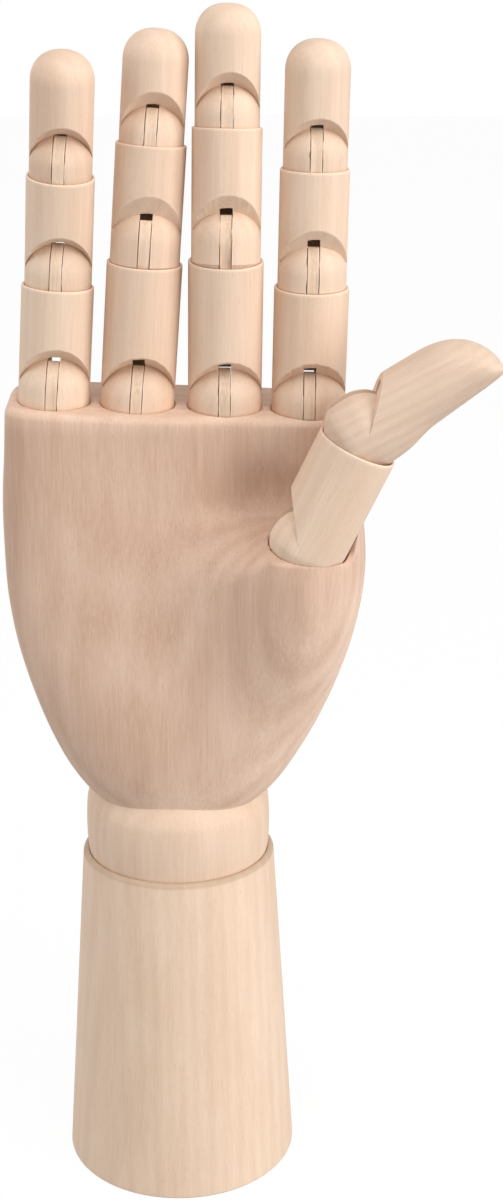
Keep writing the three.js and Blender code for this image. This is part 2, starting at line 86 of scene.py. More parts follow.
# %% Sizes of the hand in millimetres
WRIST_HEIGHT = 97.5
PALM_LEAN = 5.0
FINGERS = {
    "little": dict(x=-28, rim=115.4, lean=4, radius=[8.6, 7.95, 7.3], length=[22.8, 21.4, 23.9],
                   seat=[0.66, 0.6, 0.66], bend=[-2.6, 7.9, 2]),
    "ring": dict(x=-7.9, rim=114.7, lean=4.2, radius=[8.95, 8.25, 7.55], length=[30.4, 19.8, 21.7],
                 seat=[0.48, 0.93, 0.52], bend=[-1.6, -2.8, 2]),
    "middle": dict(x=13.05, rim=114.1, lean=0.8, radius=[8.9, 8.15, 7.5], length=[31.4, 23.2, 23],
                   seat=[0.52, 0.9, 0.57], bend=[1.4, -8.1, 3]),
    "index": dict(x=33.3, rim=113.3, lean=1, radius=[8.9, 8.15, 7.5], length=[25.5, 21.6, 24.2],
                  seat=[0.54, 0.73, 0.64], bend=[-0.6, -2, 2]),
}
PIECES = ["lower", "middle", "tip"]
THUMB = dict(place=(33.5, -21, 88), bend=[-25, -30], radius=[9.6, 9], length=[25.6, 33.2],
             seat=[0.25, 0.61], slope=[57, 50], forward=[0.36, 0.05])
THUMB_PIECES = ["thumb_lower", "thumb_tip"]
NOTCH_FORWARD = 0.14
SLOT_HALF = 1.5
TONGUE_HALF = 1.34
SLOT_ROOF = 1.05
TONGUE_HEAD = 0.985
TONGUE_FALL = 0.35
CUP_PLAY = 0.12
print(len(FINGERS), "fingers of", len(PIECES), "pieces, and a thumb of", len(THUMB_PIECES))

# %% [markdown]
# ## Frames
# Every piece is drawn upright about its own pin and then carried to its place by a 4 by 4 matrix, just as
# the real pieces are turned first and joined later. The matrices are chained: wrist, palm, socket, then
# one bend after another.

# %% Frames of the pieces
def turn(axis, degrees):
    """Matrix of a right-handed turn about X, Y or Z: the other two axes are mixed by cosine and sine."""
    first, second = {"x": (1, 2), "y": (2, 0), "z": (0, 1)}[axis]
    whole = np.eye(4)
    whole[first, first] = whole[second, second] = math.cos(math.radians(degrees))
    whole[second, first] = math.sin(math.radians(degrees))
    whole[first, second] = -whole[second, first]
    return whole


def shift(x, y, z):
    """Matrix of a move by x, y and z."""
    whole = np.eye(4)
    whole[:3, 3] = (x, y, z)
    return whole


def pin_height(finger):
    """Height of a finger's first pin above the wrist centre: its rim plus its seat."""
    return finger["rim"] + finger["seat"][0] * finger["radius"][0]


def place_chain(names, here, size):
    """Frames of pieces that follow each other: each bends in its socket and carries the next pin."""
    for i, name in enumerate(names):
        socket_frames[name] = here
        piece_frames[name] = here @ turn("x", size["bend"][i])
        if i + 1 < len(names):
            reach = size["length"][i] + size["seat"][i + 1] * size["radius"][i + 1]
            here = piece_frames[name] @ shift(0, 0, reach)


wrist_frame = shift(0, 0, WRIST_HEIGHT)
palm_frame = wrist_frame @ turn("x", PALM_LEAN)
socket_frames = {}
piece_frames = {}
for name, finger in FINGERS.items():
    first_pin = palm_frame @ shift(finger["x"], 0, pin_height(finger)) @ turn("y", finger["lean"])
    place_chain([f"{name}_{part}" for part in PIECES], first_pin, finger)
place_chain(THUMB_PIECES, palm_frame @ shift(*THUMB["place"]) @ turn("z", -90), THUMB)
print(len(piece_frames), "finger and thumb pieces placed")

# %% [markdown]
# ## From grids to meshes
# A surface of two parameters is a grid of points: rows along one, columns along the other. Four
# neighbours make a face. Patches that meet share their edge points, and merging doubles sews them into
# one closed skin. Three values travel with every point: grain, its place in the uncut block of wood,
# wear, how close it is to a rubbed edge, and how far it takes on a second, darker tint. No two blanks are
# alike, so on most pieces that tint is a tone of the wood. On the palm it is its pink tone with painted
# shade and painted light, and on the base's shoulder it is painted shade.

# %% Grid helpers
MILLIMETRE = 0.001
# Points nearer to each other than the first are merged, and edges shorter than the second are dropped.
MERGE_WITHIN = 3e-6
SLIVER = 1e-7


def grid(*coordinates):
    """Points whose coordinates are spread over one common grid."""
    return np.stack(np.broadcast_arrays(*coordinates), axis=-1)


def sweep(start, end, steps):
    """Angles in even steps between two values in degrees, as radians."""
    return np.radians(np.linspace(start, end, steps))


def grid_faces(rows, columns, closed):
    """Quads of a grid: two neighbours in a row and the two in the next row; a closed grid wraps round."""
    last = columns if closed else columns - 1
    row, column = np.meshgrid(np.arange(rows - 1), np.arange(last), indexing="ij")
    beside = (column + 1) % columns
    corners = [row * columns + column, row * columns + beside,
               (row + 1) * columns + beside, (row + 1) * columns + column]
    return grid(*corners).reshape(-1, 4)


def patch(points, wear=0.0, closed=False):
    """A grid patch: points of shape (rows, columns, 3), the wear of each, and whether the columns close."""
    points = np.asarray(points, float)
    return dict(points=points, wear=np.broadcast_to(wear, points.shape[:2]), closed=closed)


def store(mesh, name, kind, field, values):
    """Writes one value or vector for every point of a mesh as a named attribute."""
    layer = mesh.attributes.new(name, kind, "POINT")
    layer.data.foreach_set(field, values.astype(np.float32).ravel())


def sew(name, patches, place, grain_shift=0.0, polygons=(), sharp=38.0, tint_and_painted_shade=0.0, fibre=np.eye(3)):
    """Joins patches and flat polygons into one mesh object, in metres, with three values on its points."""
    points = []
    wear = []
    faces = []
    count = 0
    for item in patches:
        rows, columns = item["points"].shape[:2]
        points.append(item["points"].reshape(-1, 3))
        wear.append(item["wear"].reshape(-1))
        faces.extend((grid_faces(rows, columns, item["closed"]) + count).tolist())
        count += rows * columns
    for outline in polygons:
        points.append(outline)
        wear.append(np.zeros(len(outline)))
        faces.append(list(range(count, count + len(outline))))
        count += len(outline)
    local = np.concatenate(points)
    placed = (local @ place[:3, :3].T + place[:3, 3]) * MILLIMETRE
    mesh = bpy.data.meshes.new(name)
    mesh.from_pydata(placed.tolist(), [], faces)
    store(mesh, "grain", "FLOAT_VECTOR", "vector", local @ fibre.T + grain_shift)
    store(mesh, "wear", "FLOAT", "value", np.concatenate(wear))
    store(mesh, "tint_and_painted_shade", "FLOAT", "value", np.broadcast_to(tint_and_painted_shade, len(local)))
    shell = bmesh.new()
    shell.from_mesh(mesh)
    bmesh.ops.remove_doubles(shell, verts=shell.verts, dist=MERGE_WITHIN)
    bmesh.ops.dissolve_degenerate(shell, dist=SLIVER, edges=shell.edges)
    bmesh.ops.recalc_face_normals(shell, faces=shell.faces)
    open_edges = sum(1 for edge in shell.edges if len(edge.link_faces) != 2)
    shell.to_mesh(mesh)
    shell.free()
    mesh.shade_smooth()
    mesh.set_sharp_from_angle(angle=math.radians(sharp))
    piece = bpy.data.objects.new(name, mesh)
    bpy.context.scene.collection.objects.link(piece)
    if open_edges:
        print("  ", name, "has", open_edges, "edges without two faces")
    return piece


def ease(value, low, high):
    """Smooth step: 0 below low, 1 above high, and 3t^2 - 2t^3 between."""
    share = np.clip((value - low) / (high - low), 0.0, 1.0)
    return share * share * (3.0 - 2.0 * share)


def mix(start, end, share):
    """The value that lies a share of the way from start to end."""
    return start + (end - start) * share


print("grid helpers ready")

# %% [markdown]
# ## Bare wood
# The wood is pale, close grained and only sanded. Its look has five layers: slow patches of colour, long
# streaks, growth rings that become stripes along a turned side and arcs on a round end, fine fibres along
# the grain, and short dark pores. All are 3D patterns read from the grain attribute, stretched along the
# length of the block, so they run through the piece as real grain does. Rubbed edges are a little paler.
# The fibres also change the roughness, and with the pores they drive a slight bump.

# %% Node helpers
def linear(red, green, blue):
    """Linear colour of a screen colour from 0 to 255: ((s + 0.055) / 1.055)^2.4 above 0.04045."""
    screen = np.array([red, green, blue]) / 255.0
    bright = np.where(screen > 0.04045, ((screen + 0.055) / 1.055) ** 2.4, screen / 12.92)
    return (*bright.tolist(), 1.0)


def feed(tree, node, inputs):
    """Fills inputs of a node: a socket is linked to its input, and anything else becomes its value."""
    for key, value in inputs.items():
        if isinstance(value, bpy.types.NodeSocket):
            tree.links.new(value, node.inputs[key])
        else:
            node.inputs[key].default_value = value


def add_node(tree, kind, inputs=None, **settings):
    """A new shader node with its settings and inputs."""
    made = tree.nodes.new(kind)
    for key, value in settings.items():
        setattr(made, key, value)
    feed(tree, made, inputs or {})
    return made


def new_material(name):
    """A new material with nodes, its tree and its main shader."""
    material = bpy.data.materials.new(name)
    material.use_nodes = True
    return material, material.node_tree, material.node_tree.nodes["Principled BSDF"]


def point_value(tree, name, output="Fac"):
    """A value that travels with the points of a mesh."""
    return add_node(tree, "ShaderNodeAttribute", attribute_name=name).outputs[output]


def sum_of(tree, first, weight, second):
    """First times weight plus second, where each is a socket or a number."""
    inputs = {0: first, 1: weight, 2: second}
    return add_node(tree, "ShaderNodeMath", inputs, operation="MULTIPLY_ADD").outputs[0]


def tinted(tree, share, colour, tint, **settings):
    """A colour mixed with a tint by a share."""
    inputs = {0: share, 6: colour, 7: tint}
    return add_node(tree, "ShaderNodeMix", inputs, data_type="RGBA", **settings).outputs[2]


def colour_ramp(tree, value, *stops):
    """A ramp over a value, with stops of a position and a screen colour, its two ends first."""
    ramp = add_node(tree, "ShaderNodeValToRGB", {0: value})
    elements = ramp.color_ramp.elements
    for i, (position, colour) in enumerate(stops):
        stop = elements[i] if i < 2 else elements.new(position)
        stop.position = position
        stop.color = linear(*colour)
    return ramp.outputs[0]


def stretched(tree, grain, across, along):
    """The grain vector, with across and along as its steps per millimetre."""
    inputs = {0: grain, 1: (across, across, along)}
    return add_node(tree, "ShaderNodeVectorMath", inputs, operation="MULTIPLY").outputs[0]


def stretched_noise(tree, grain, across, along, detail):
    """Noise on the stretched grain vector."""
    vector = stretched(tree, grain, across, along)
    inputs = {"Vector": vector, "Scale": 1.0, "Detail": detail, "Roughness": 0.6}
    return add_node(tree, "ShaderNodeTexNoise", inputs).outputs[0]


print("node helpers ready")

# %% Wood finish
def wood_finish(name, dark, middle, pale, shares, roughness, ring_wave=(0.085, 9.0),
                tint_and_shade_colour=(0.93, 0.84, 0.8)):
    """A bare wood: a colour ramp over rings, fibres and patches, then pores, pale edges and a tint with
    painted shade.
    """
    material, tree, shader = new_material(name)
    grain = point_value(tree, "grain", "Vector")
    ring_inputs = {"Vector": stretched(tree, grain, 1.0, 0.045), "Scale": ring_wave[0],
                   "Distortion": ring_wave[1], "Detail": 3.0, "Detail Scale": 0.25, "Detail Roughness": 0.6}
    rings = add_node(tree, "ShaderNodeTexWave", ring_inputs, wave_type="RINGS", rings_direction="Z")
    patches = stretched_noise(tree, grain, 0.06, 0.02, 2.0)
    streaks = stretched_noise(tree, grain, 0.33, 0.012, 2.0)
    fibres = stretched_noise(tree, grain, 2.2, 0.07, 4.0)
    pores = stretched_noise(tree, grain, 5.5, 0.33, 1.0)
    ring_share, fibre_share, patch_share = shares
    streak_share = 0.5 * patch_share
    tone = 0.5 - 0.5 * (ring_share + fibre_share + patch_share + streak_share)
    layers = ((rings.outputs["Fac"], ring_share), (streaks, streak_share),
              (fibres, fibre_share), (patches, patch_share))
    for layer, share in layers:
        tone = sum_of(tree, layer, share, tone)
    colour = colour_ramp(tree, tone, (0.3, dark), (0.7, pale), (0.5, middle))
    pore_inputs = {"Value": pores, "From Min": 0.63, "From Max": 0.74, "To Min": 0.0, "To Max": 0.3}
    pore_mask = add_node(tree, "ShaderNodeMapRange", pore_inputs).outputs[0]
    colour = tinted(tree, pore_mask, colour, linear(*(0.86 * np.array(dark))))
    edge_inputs = {0: point_value(tree, "wear"), 1: 0.5}
    edge = add_node(tree, "ShaderNodeMath", edge_inputs, operation="MULTIPLY", use_clamp=True).outputs[0]
    colour = tinted(tree, edge, colour, linear(*np.minimum(255, np.array(pale) + 10)))
    # Multiplies in a darker tint by a point value: a tone of the wood on most pieces, painted shade on the
    # base's shoulder, and on the palm its pink tone with painted shade and painted light.
    colour = tinted(tree, point_value(tree, "tint_and_painted_shade"), colour, (*tint_and_shade_colour, 1.0), blend_type="MULTIPLY")
    bump_inputs = {"Strength": 0.12, "Distance": 0.0003, "Height": sum_of(tree, pores, -0.5, fibres)}
    bump = add_node(tree, "ShaderNodeBump", bump_inputs).outputs[0]
    rough = sum_of(tree, fibres, 0.16, roughness - 0.08)
    feed(tree, shader, {"Base Color": colour, "Roughness": rough, "Normal": bump,
                        "Specular IOR Level": 0.35})
    return material


pale_wood = wood_finish("pale_turned_wood", (219, 190, 165), (230, 203, 179), (239, 215, 193),
                        (0.07, 0.36, 0.42), 0.62)
# The palm's tint colour darkens its pink tone and is also the colour of its painted shade.
palm_wood = wood_finish("pink_carved_wood", (212, 177, 153), (227, 195, 172), (239, 210, 189),
                        (0.1, 0.45, 0.5), 0.6, tint_and_shade_colour=(0.78, 0.72, 0.69))
striped_wood = wood_finish("striped_turned_wood", (211, 183, 160), (222, 196, 174), (232, 209, 189),
                           (0.09, 0.36, 0.42), 0.62, ring_wave=(0.13, 5.0))
slat_wood = wood_finish("sawn_slat_wood", (210, 180, 153), (226, 198, 172), (237, 211, 187),
                        (0.1, 0.7, 0.4), 0.68)
# The base's tint is the colour of the painted shade on its shoulder.
base_wood = wood_finish("base_turned_wood", (218, 188, 162), (229, 201, 176), (238, 213, 190),
                        (0.07, 0.36, 0.42), 0.62, tint_and_shade_colour=(0.7, 0.68, 0.64))
print("woods:", pale_wood.name, palm_wood.name, striped_wood.name, slat_wood.name, base_wood.name)

# %% [markdown]
# ## Steel wire
# The pins, the screw eyes and the spring are drawn wire. They sit inside the wood and show only when the
# hand is taken apart, but they get a real finish too: bright metal whose grey and roughness change from
# spot to spot.

# %% Steel finish
def steel_finish(name):
    """Bright drawn steel: a metallic shader, its grey and roughness from noise on Object coordinates."""
    material, tree, shader = new_material(name)
    place = add_node(tree, "ShaderNodeTexCoord").outputs["Object"]
    noise = add_node(tree, "ShaderNodeTexNoise", {"Vector": place, "Scale": 900.0, "Detail": 3.0}).outputs[0]
    colour = colour_ramp(tree, noise, (0.0, (140, 142, 146)), (1.0, (196, 198, 200)))
    rough = sum_of(tree, noise, 0.2, 0.22)
    feed(tree, shader, {"Metallic": 1.0, "Base Color": colour, "Roughness": rough})
    return material


bright_steel = steel_finish("bright_wire_steel")
print("steel:", bright_steel.name)

# %% [markdown]
# ## Putting a piece to work
# A finished piece takes a material, rides on a body of the frame, and stands for one node of the solids.

# %% Dressing helper
made_pieces = []


def dress(piece, material, body, node):
    """Gives a piece its material and slot, lets it ride on a body, and hides the node it stands for."""
    piece.data.materials.append(material)
    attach(piece, body)
    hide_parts(node)
    made_pieces.append(piece)


def grain_offset(seed):
    """Where in its block a piece was cut: 30 to 70 mm from the heart of the log, far up or down it."""
    picked = np.random.default_rng(seed)
    angle = picked.uniform(0, 2 * np.pi)
    far = picked.uniform(30, 70)
    return np.array([far * np.cos(angle), far * np.sin(angle), picked.uniform(-800, 800)])


print("dressing helper ready")

# %% [markdown]
# ## Turned base
# The base is turned on a lathe, so it is a profile spun about the axis. A small round at the foot keeps it
# from chipping. At the top a rounded shoulder leads to the cup in which the wrist rocks. The shoulder
# is painted with shade, darker than the side, as the barrel above it shades it. The bore below the cup
# takes the spring.

# %% Base
def full_turn(steps):
    """Angles of one full turn in even steps."""
    return np.linspace(0, 2 * np.pi, steps, endpoint=False)


def lathe(profile, angle):
    """Points of a profile of (radius, height) rows spun about Z to the given angles."""
    across = profile[:, :1]
    return grid(across * np.cos(angle), across * np.sin(angle), profile[:, 1:])


def arc(radius, centre, start, end, steps):
    """(radius, height) rows of an arc about a centre, its angles in degrees from the horizontal."""
    angle = sweep(start, end, steps)
    return np.asarray(centre) + radius * grid(np.cos(angle), np.sin(angle))


BASE_RADIUS = 31.0
BASE_TOP = 25.4
BASE_HEIGHT = 89.9
BASE_SIDES = 128
RIM_ROUND = 1.4
FOOT_ROUND = 0.7
WRIST_BALL = 25.0
WRIST_PLAY = 0.1
SPRING_BORE = 8.0
BORE_DEPTH = 58.0

cup_ball = WRIST_BALL + WRIST_PLAY
mouth = math.degrees(math.asin((BASE_HEIGHT - 0.1 - WRIST_HEIGHT) / cup_ball))
bore = -math.degrees(math.acos(SPRING_BORE / cup_ball))
bore_end = WRIST_HEIGHT - BORE_DEPTH
base_profile = np.concatenate([
    np.linspace((0.0, 0.0), (BASE_RADIUS - FOOT_ROUND, 0.0), 6),
    arc(FOOT_ROUND, (BASE_RADIUS - FOOT_ROUND, FOOT_ROUND), -80, -3, 6),
    np.linspace((BASE_RADIUS - 0.06, 1.6), (BASE_TOP, BASE_HEIGHT - RIM_ROUND), 40),
    arc(RIM_ROUND, (BASE_TOP - RIM_ROUND, BASE_HEIGHT - RIM_ROUND), 10, 90, 6),
    arc(cup_ball, (0.0, WRIST_HEIGHT), mouth, bore, 14),
    np.linspace((SPRING_BORE, bore_end), (0.0, bore_end), 4),
])
base_across, base_level = base_profile.T
edge_wear = 0.6 * np.exp(-((base_level - 0.3) / 0.5) ** 2) * (base_across > 30)
base_patch = patch(lathe(base_profile, full_turn(BASE_SIDES)), edge_wear[:, None], closed=True)
# Painted shade: the shoulder just under the barrel is tinted darker, as the barrel shades it.
shoulder_painted_shade = np.repeat(ease(base_level, BASE_HEIGHT - 1.5, BASE_HEIGHT - 0.8), BASE_SIDES)
base_piece = sew("base_turned", [base_patch], np.eye(4), grain_offset(11), tint_and_painted_shade=shoulder_painted_shade)
dress(base_piece, base_wood, "base", "base")
print("base with", len(base_piece.data.polygons), "faces")

# %% [markdown]
# ## Wrist barrel
# The barrel is a second lathe piece. Its sides bulge a little, and its two ends are parts of one ball, so
# the palm and the base can rock on it. A bore that widens to both ends leaves room for the spring to
# bend. The barrel leans by half as much as the palm does.

# %% Barrel
BARREL_RADIUS = 24.2
BARREL_ARC = 70.0
BARREL_HALF = 22.0
BARREL_MOUTH = 10.4
BARREL_WAIST = 6.0
BARREL_SIDES = 112
height = np.linspace(-BARREL_HALF, BARREL_HALF, 49)
side = np.minimum(BARREL_RADIUS - height ** 2 / (2 * BARREL_ARC), np.sqrt(WRIST_BALL ** 2 - height ** 2))
barrel_profile = np.concatenate([
    grid(side, height),
    np.linspace((BARREL_MOUTH, BARREL_HALF - 1.0), (SPRING_BORE, BARREL_WAIST), 5),
    np.linspace((SPRING_BORE, -BARREL_WAIST), (BARREL_MOUTH, 1.0 - BARREL_HALF), 5),
])
barrel_profile = np.concatenate([barrel_profile, barrel_profile[:1]])
barrel_patch = patch(lathe(barrel_profile, full_turn(BARREL_SIDES)), closed=True)
barrel_piece = sew("wrist_barrel_turned", [barrel_patch], wrist_frame @ turn("x", PALM_LEAN / 2),
                   grain_offset(5), tint_and_painted_shade=0.3)
dress(barrel_piece, pale_wood, "barrel", "wrist_barrel")
print("barrel with", len(barrel_piece.data.polygons), "faces")

# %% [markdown]
# ## Carved palm
# The palm is the one carved piece. A few measured sections, each a rounded rectangle, are joined by a
# smooth curve through them. On top of that comes relief: the ball of the thumb stands forward and ends in
# a shelf, and a shallow scoop leaves way for the thumb. The cups are then pressed in: a point that lies
# inside the ball of a knuckle moves straight away from its centre to the ball's surface, which leaves a
# clean round edge in any grid.

# %% Sections of the palm
# Each row holds a level, then the left, right, front and back reach there, and how square it is.
SECTIONS = np.array([
    [4, -12, 13, 11, 10, 2.1],
    [9, -19.5, 20.6, 17.5, 16, 2.1],
    [14, -24.4, 26, 20.7, 19.4, 2.2],
    [23, -29.7, 31.8, 22.6, 21, 2.4],
    [36, -34.9, 38, 22.2, 21.2, 2.6],
    [52, -39.4, 43.4, 20.2, 20.4, 2.8],
    [66, -41.5, 46.5, 17.8, 18.8, 3],
    [78, -41.9, 47.6, 15.8, 17, 3.2],
    [92, -41.6, 46.4, 13.8, 15.6, 4],
    [104, -40.5, 44.4, 12.6, 15.2, 5],
    [114.8, -39.7, 43, 12, 15.2, 6],
])
LEFT, RIGHT, FRONT, BACK, SQUARE = range(1, 6)
PALM_TOP = 114.8
PALM_ROUND = 2.0
MOUND_X = 35.5
MOUND_DEPTH = 18.5
SHELF_LEVEL = 84.0


def section(column, level):
    """A column of the sections at a level: a cubic through them, with slopes from their neighbours."""
    last = len(SECTIONS) - 1
    high = np.clip(np.searchsorted(SECTIONS[:, 0], level), 1, last)
    before, low, beyond = np.maximum(high - 2, 0), high - 1, np.minimum(high + 1, last)
    at = SECTIONS[:, 0]
    value = SECTIONS[:, column]
    span = at[high] - at[low]
    share = (level - at[low]) / span
    low_slope = (value[high] - value[before]) / (at[high] - at[before]) * span
    high_slope = (value[beyond] - value[low]) / (at[beyond] - at[low]) * span
    rest = 1 - share
    curve = value[low] * (1 + 2 * share) * rest ** 2 + value[high] * share ** 2 * (3 - 2 * share)
    return curve + low_slope * share * rest ** 2 - high_slope * share ** 2 * rest


def relief(x, level):
    """The ball of the thumb, a bell across times a rise with height, less the hollow above it."""
    across = np.exp(-((x - MOUND_X) / np.where(x < MOUND_X, 23.0, 34.0)) ** 2)
    aside = np.clip(THUMB["place"][0] - x - THUMB["radius"][0], 0.0, 16.0)
    beyond = np.clip(x - THUMB["place"][0] - 9.0, 0.0, 4.0)
    shelf = SHELF_LEVEL - 0.75 * aside + 2.0 * beyond
    rise = ease(level, 20.0, 82.0) * (1 - ease(level, shelf, shelf + 7.0 + 0.9 * aside))
    hollow = np.exp(-((x - 24.0) / 13.0) ** 2 - ((level - 96.0) / 8.0) ** 2)
    return MOUND_DEPTH * across * rise - 1.6 * ease(x, 0.0, 14.0) * ease(level, 86.0, 95.0) - 2.4 * hollow


def palm_skin(angle, level, inset=0.0):
    """A point of the palm: (|cos|^n + |sin|^n)^(-1/n) along an angle, with n from the section."""
    left = section(LEFT, level) + inset
    right = section(RIGHT, level) - inset
    square = section(SQUARE, level)
    cosine, sine = np.cos(angle), np.sin(angle)
    reach = (np.abs(cosine) ** square + np.abs(sine) ** square) ** (-1.0 / square)
    deep = reach * np.abs(sine)
    x = (left + right) / 2 + reach * cosine * (right - left) / 2
    front = -deep * (section(FRONT, level) - inset) - relief(x, level) * deep ** (0.2 * square)
    back = deep * (section(BACK, level) - inset)
    y = np.where(sine < 0, front, back)
    z = level + ease(level, 90.0, PALM_TOP) * (0.05 * np.maximum(0.0, y) - 0.035 * x)
    return grid(x, y, z)


print("palm sections from", SECTIONS[0, 0], "to", SECTIONS[-1, 0], "mm above the wrist centre")

# %% Cups pressed into the palm
def press_ball(points, centre, radius, soft=0.14):
    """Moves points inside a ball straight out to its surface, with a soft edge.

    The distance becomes radius + soft * log(1 + e^((distance - radius) / soft))."""
    away = points - np.asarray(centre, float)
    far = np.maximum(np.linalg.norm(away, axis=-1, keepdims=True), 1e-6)
    pressed = radius + soft * np.logaddexp(0.0, (far - radius) / soft)
    return np.asarray(centre) + away / far * pressed


def press_down(points, centre, radius):
    """Moves points inside a ball down to its lower half: z is centre - sqrt(radius^2 - across^2)."""
    away = points - np.asarray(centre, float)
    inside = np.linalg.norm(away, axis=-1) < radius
    across = np.hypot(away[..., 0], away[..., 1])
    pressed = points.copy()
    bottom = centre[2] - np.sqrt(np.maximum(0.0, radius ** 2 - across ** 2))
    pressed[..., 2] = np.where(inside, bottom, points[..., 2])
    return pressed


SWING_IN = -13.0
SWING_OUT = 28.0


def clear_swing(points, play=0.12):
    """Moves front points back out of the fan that the thumb's lower piece sweeps about its pin."""
    pin = np.array(THUMB["place"], float)
    radius = THUMB["radius"][0] + play
    x, z = points[..., 0] - pin[0], points[..., 2] - pin[2]
    far = np.hypot(x, z)
    lean = np.degrees(np.arctan2(x, z))
    past = np.maximum(0.0, np.maximum(SWING_IN - lean, lean - SWING_OUT))
    beside = np.where(past < 90.0, far * np.sin(np.radians(np.minimum(past, 90.0))), far)
    deep = pin[1] + np.sqrt(np.maximum(0.0, radius ** 2 - beside ** 2))
    near = 1 - ease(beside, radius, radius + np.where(x < 0, 2.2, 2.0))
    near = near * np.where(x < 0, 1 - ease(past, 62.0, 78.0), 1 - ease(past, 76.0, 96.0))
    near = near * ((points[..., 1] < deep) & (points[..., 1] < 0) & (far < 62.0))
    moved = points.copy()
    moved[..., 1] = mix(points[..., 1], deep, near)
    return moved


def end_radius(radius, seat):
    """Radius of a round end about its pin, so that it is as wide as the piece at the rim below."""
    return radius * math.hypot(1.0, seat)


def spaced(*stretches):
    """Values in even steps over stretches of (start, end, steps), each without its end."""
    return np.concatenate([np.linspace(*stretch, endpoint=False) for stretch in stretches])


palm_angle = spaced((0, np.pi, 90), (np.pi, 1.5 * np.pi, 90), (1.5 * np.pi, 2 * np.pi, 170))
low = np.full(palm_angle.shape, 4.0)
high = np.full(palm_angle.shape, 32.0)
for _ in range(40):
    middle = (low + high) / 2
    outside = np.linalg.norm(palm_skin(palm_angle, middle), axis=-1) > cup_ball
    high = np.where(outside, middle, high)
    low = np.where(outside, low, middle)
rim_level = high
print("wrist edge of the palm between", rim_level.min().round(1), "and", rim_level.max().round(1), "mm")

# %% Palm surface
SIDE_START = 12.0
side_height = PALM_TOP - PALM_ROUND - SIDE_START
levels = spaced((0, 62, 52), (62, 68, 12), (68, 80, 70), (80, 86, 12), (86, side_height, 15))
levels = np.append(levels, side_height)[:, None]
fade = np.clip(1 - levels / 46.0, 0.0, 1.0)
side_level = np.maximum(SIDE_START + levels + (rim_level - SIDE_START) * fade, rim_level)
side_points = palm_skin(palm_angle, side_level)
bend = sweep(8, 90, 9)[:, None]
round_level = PALM_TOP - PALM_ROUND * (1 - np.sin(bend))
round_points = palm_skin(palm_angle, round_level, PALM_ROUND * (1 - np.cos(bend)))
top_middle = np.array([1.5, 1.0, round_points[-1, :, 2].mean()])
top_points = mix(top_middle, round_points[-1], np.linspace(1, 0, 46)[1:, None, None])
away = side_points[0] / np.linalg.norm(side_points[0], axis=-1, keepdims=True)
polar = mix(np.arccos(away[:, 2]), math.asin(SPRING_BORE / cup_ball), np.linspace(0, 1, 16)[1:, None])
around = np.arctan2(away[:, 1], away[:, 0])
cup_points = cup_ball * grid(np.sin(polar) * np.cos(around), np.sin(polar) * np.sin(around), np.cos(polar))
bore_points = lathe(np.array([[SPRING_BORE, BORE_DEPTH], [0.0, BORE_DEPTH]]), around)
cup_centres = [np.array([finger["x"], 0.0, pin_height(finger)]) for finger in FINGERS.values()]
cup_radii = [end_radius(finger["radius"][0], finger["seat"][0]) + CUP_PLAY for finger in FINGERS.values()]
outer = np.concatenate([side_points, round_points, top_points])
for centre, ball in zip(cup_centres, cup_radii):
    outer = press_ball(outer, centre, ball)
outer = clear_swing(outer)
outer = press_down(outer, THUMB["place"], end_radius(THUMB["radius"][0], THUMB["seat"][0]) + 0.1)
palm_points = np.concatenate([bore_points[::-1], cup_points[::-1], outer])
print("palm grid", palm_points.shape)

# %% Palm piece
palm_wear = np.zeros(palm_points.shape[:2])
inner_rows = len(bore_points) + len(cup_points)
palm_wear[inner_rows - 1:inner_rows + 1] = 0.7
across, deep, up = palm_points[..., 0], palm_points[..., 1], palm_points[..., 2]
for finger, centre, ball in zip(FINGERS.values(), cup_centres, cup_radii):
    gap = np.linalg.norm(palm_points - centre, axis=-1) - ball
    palm_wear += 0.6 * np.exp(-(gap / 0.5) ** 2) * (up > finger["rim"] - 1.2)
# Tint and painted light: the palm takes a darker pink tint, less of it towards the lower right, partly a
# paler streak of the wood and partly painted light from the right.
palm_tint_and_painted_light = 0.58 - 0.55 * ease(across - 0.35 * (up - 40.0), 0.0, 34.0) * (1 - ease(up, 66.0, 84.0))
# Painted light: less tint near the wrist, where the base throws light up, and less towards the upper right.
palm_tint_and_painted_light -= 0.3 * (1 - ease(up, 12.0, 34.0)) + 0.2 * ease(across, 5.0, 30.0) * ease(up, 96.0, 104.0)
# Painted light: the top face keeps almost none of the tint, so it is paler, as if lit from above, and less
# red.
palm_tint_and_painted_light *= 1 - 0.9 * ease(up, 110.0, 114.0)
# Painted shade: more tint in the hollow above the thumb, where the thumb shades it.
palm_tint_and_painted_light += 0.3 * np.exp(-((across - 23.0) / 12.0) ** 2 - ((up - 97.0) / 9.0) ** 2) * (deep < 0)
palm_piece = sew("palm_carved", [patch(palm_points, np.clip(palm_wear, 0, 1), closed=True)],
                 palm_frame, np.array([-5.0, -110.0, 300.0]), sharp=50.0, tint_and_painted_shade=palm_tint_and_painted_light.ravel())
dress(palm_piece, palm_wood, "palm", "palm")
print("palm with", len(palm_piece.data.polygons), "faces")

# %% [markdown]
# ## Finger pieces
# A finger piece starts as a turned rod with a round lower end. A sloping saw cut takes wood away over the
# knuckle and leaves a dome, so the piece can fold forward. The dome is a ball as wide as the rod, and its
# middle lies a little below the pin. A slot is sawn through the round end for the tongue. The far end is
# a cup for the next piece, or a finger tip. The skin is laid out in rows that follow these cuts: down the
# side to the curved edge of the cut, over that edge, along the flat cut to the dome, down the dome and
# round the end. So each edge is a row of points, and can be rounded and rubbed a little as a real one is.

# %% Layout of a knuckle
FRONT_STEPS = 34
BACK_STEPS = 22
STRIP_STEPS = 4
DOME_STEPS = 12
EDGE_ROUND = 0.32


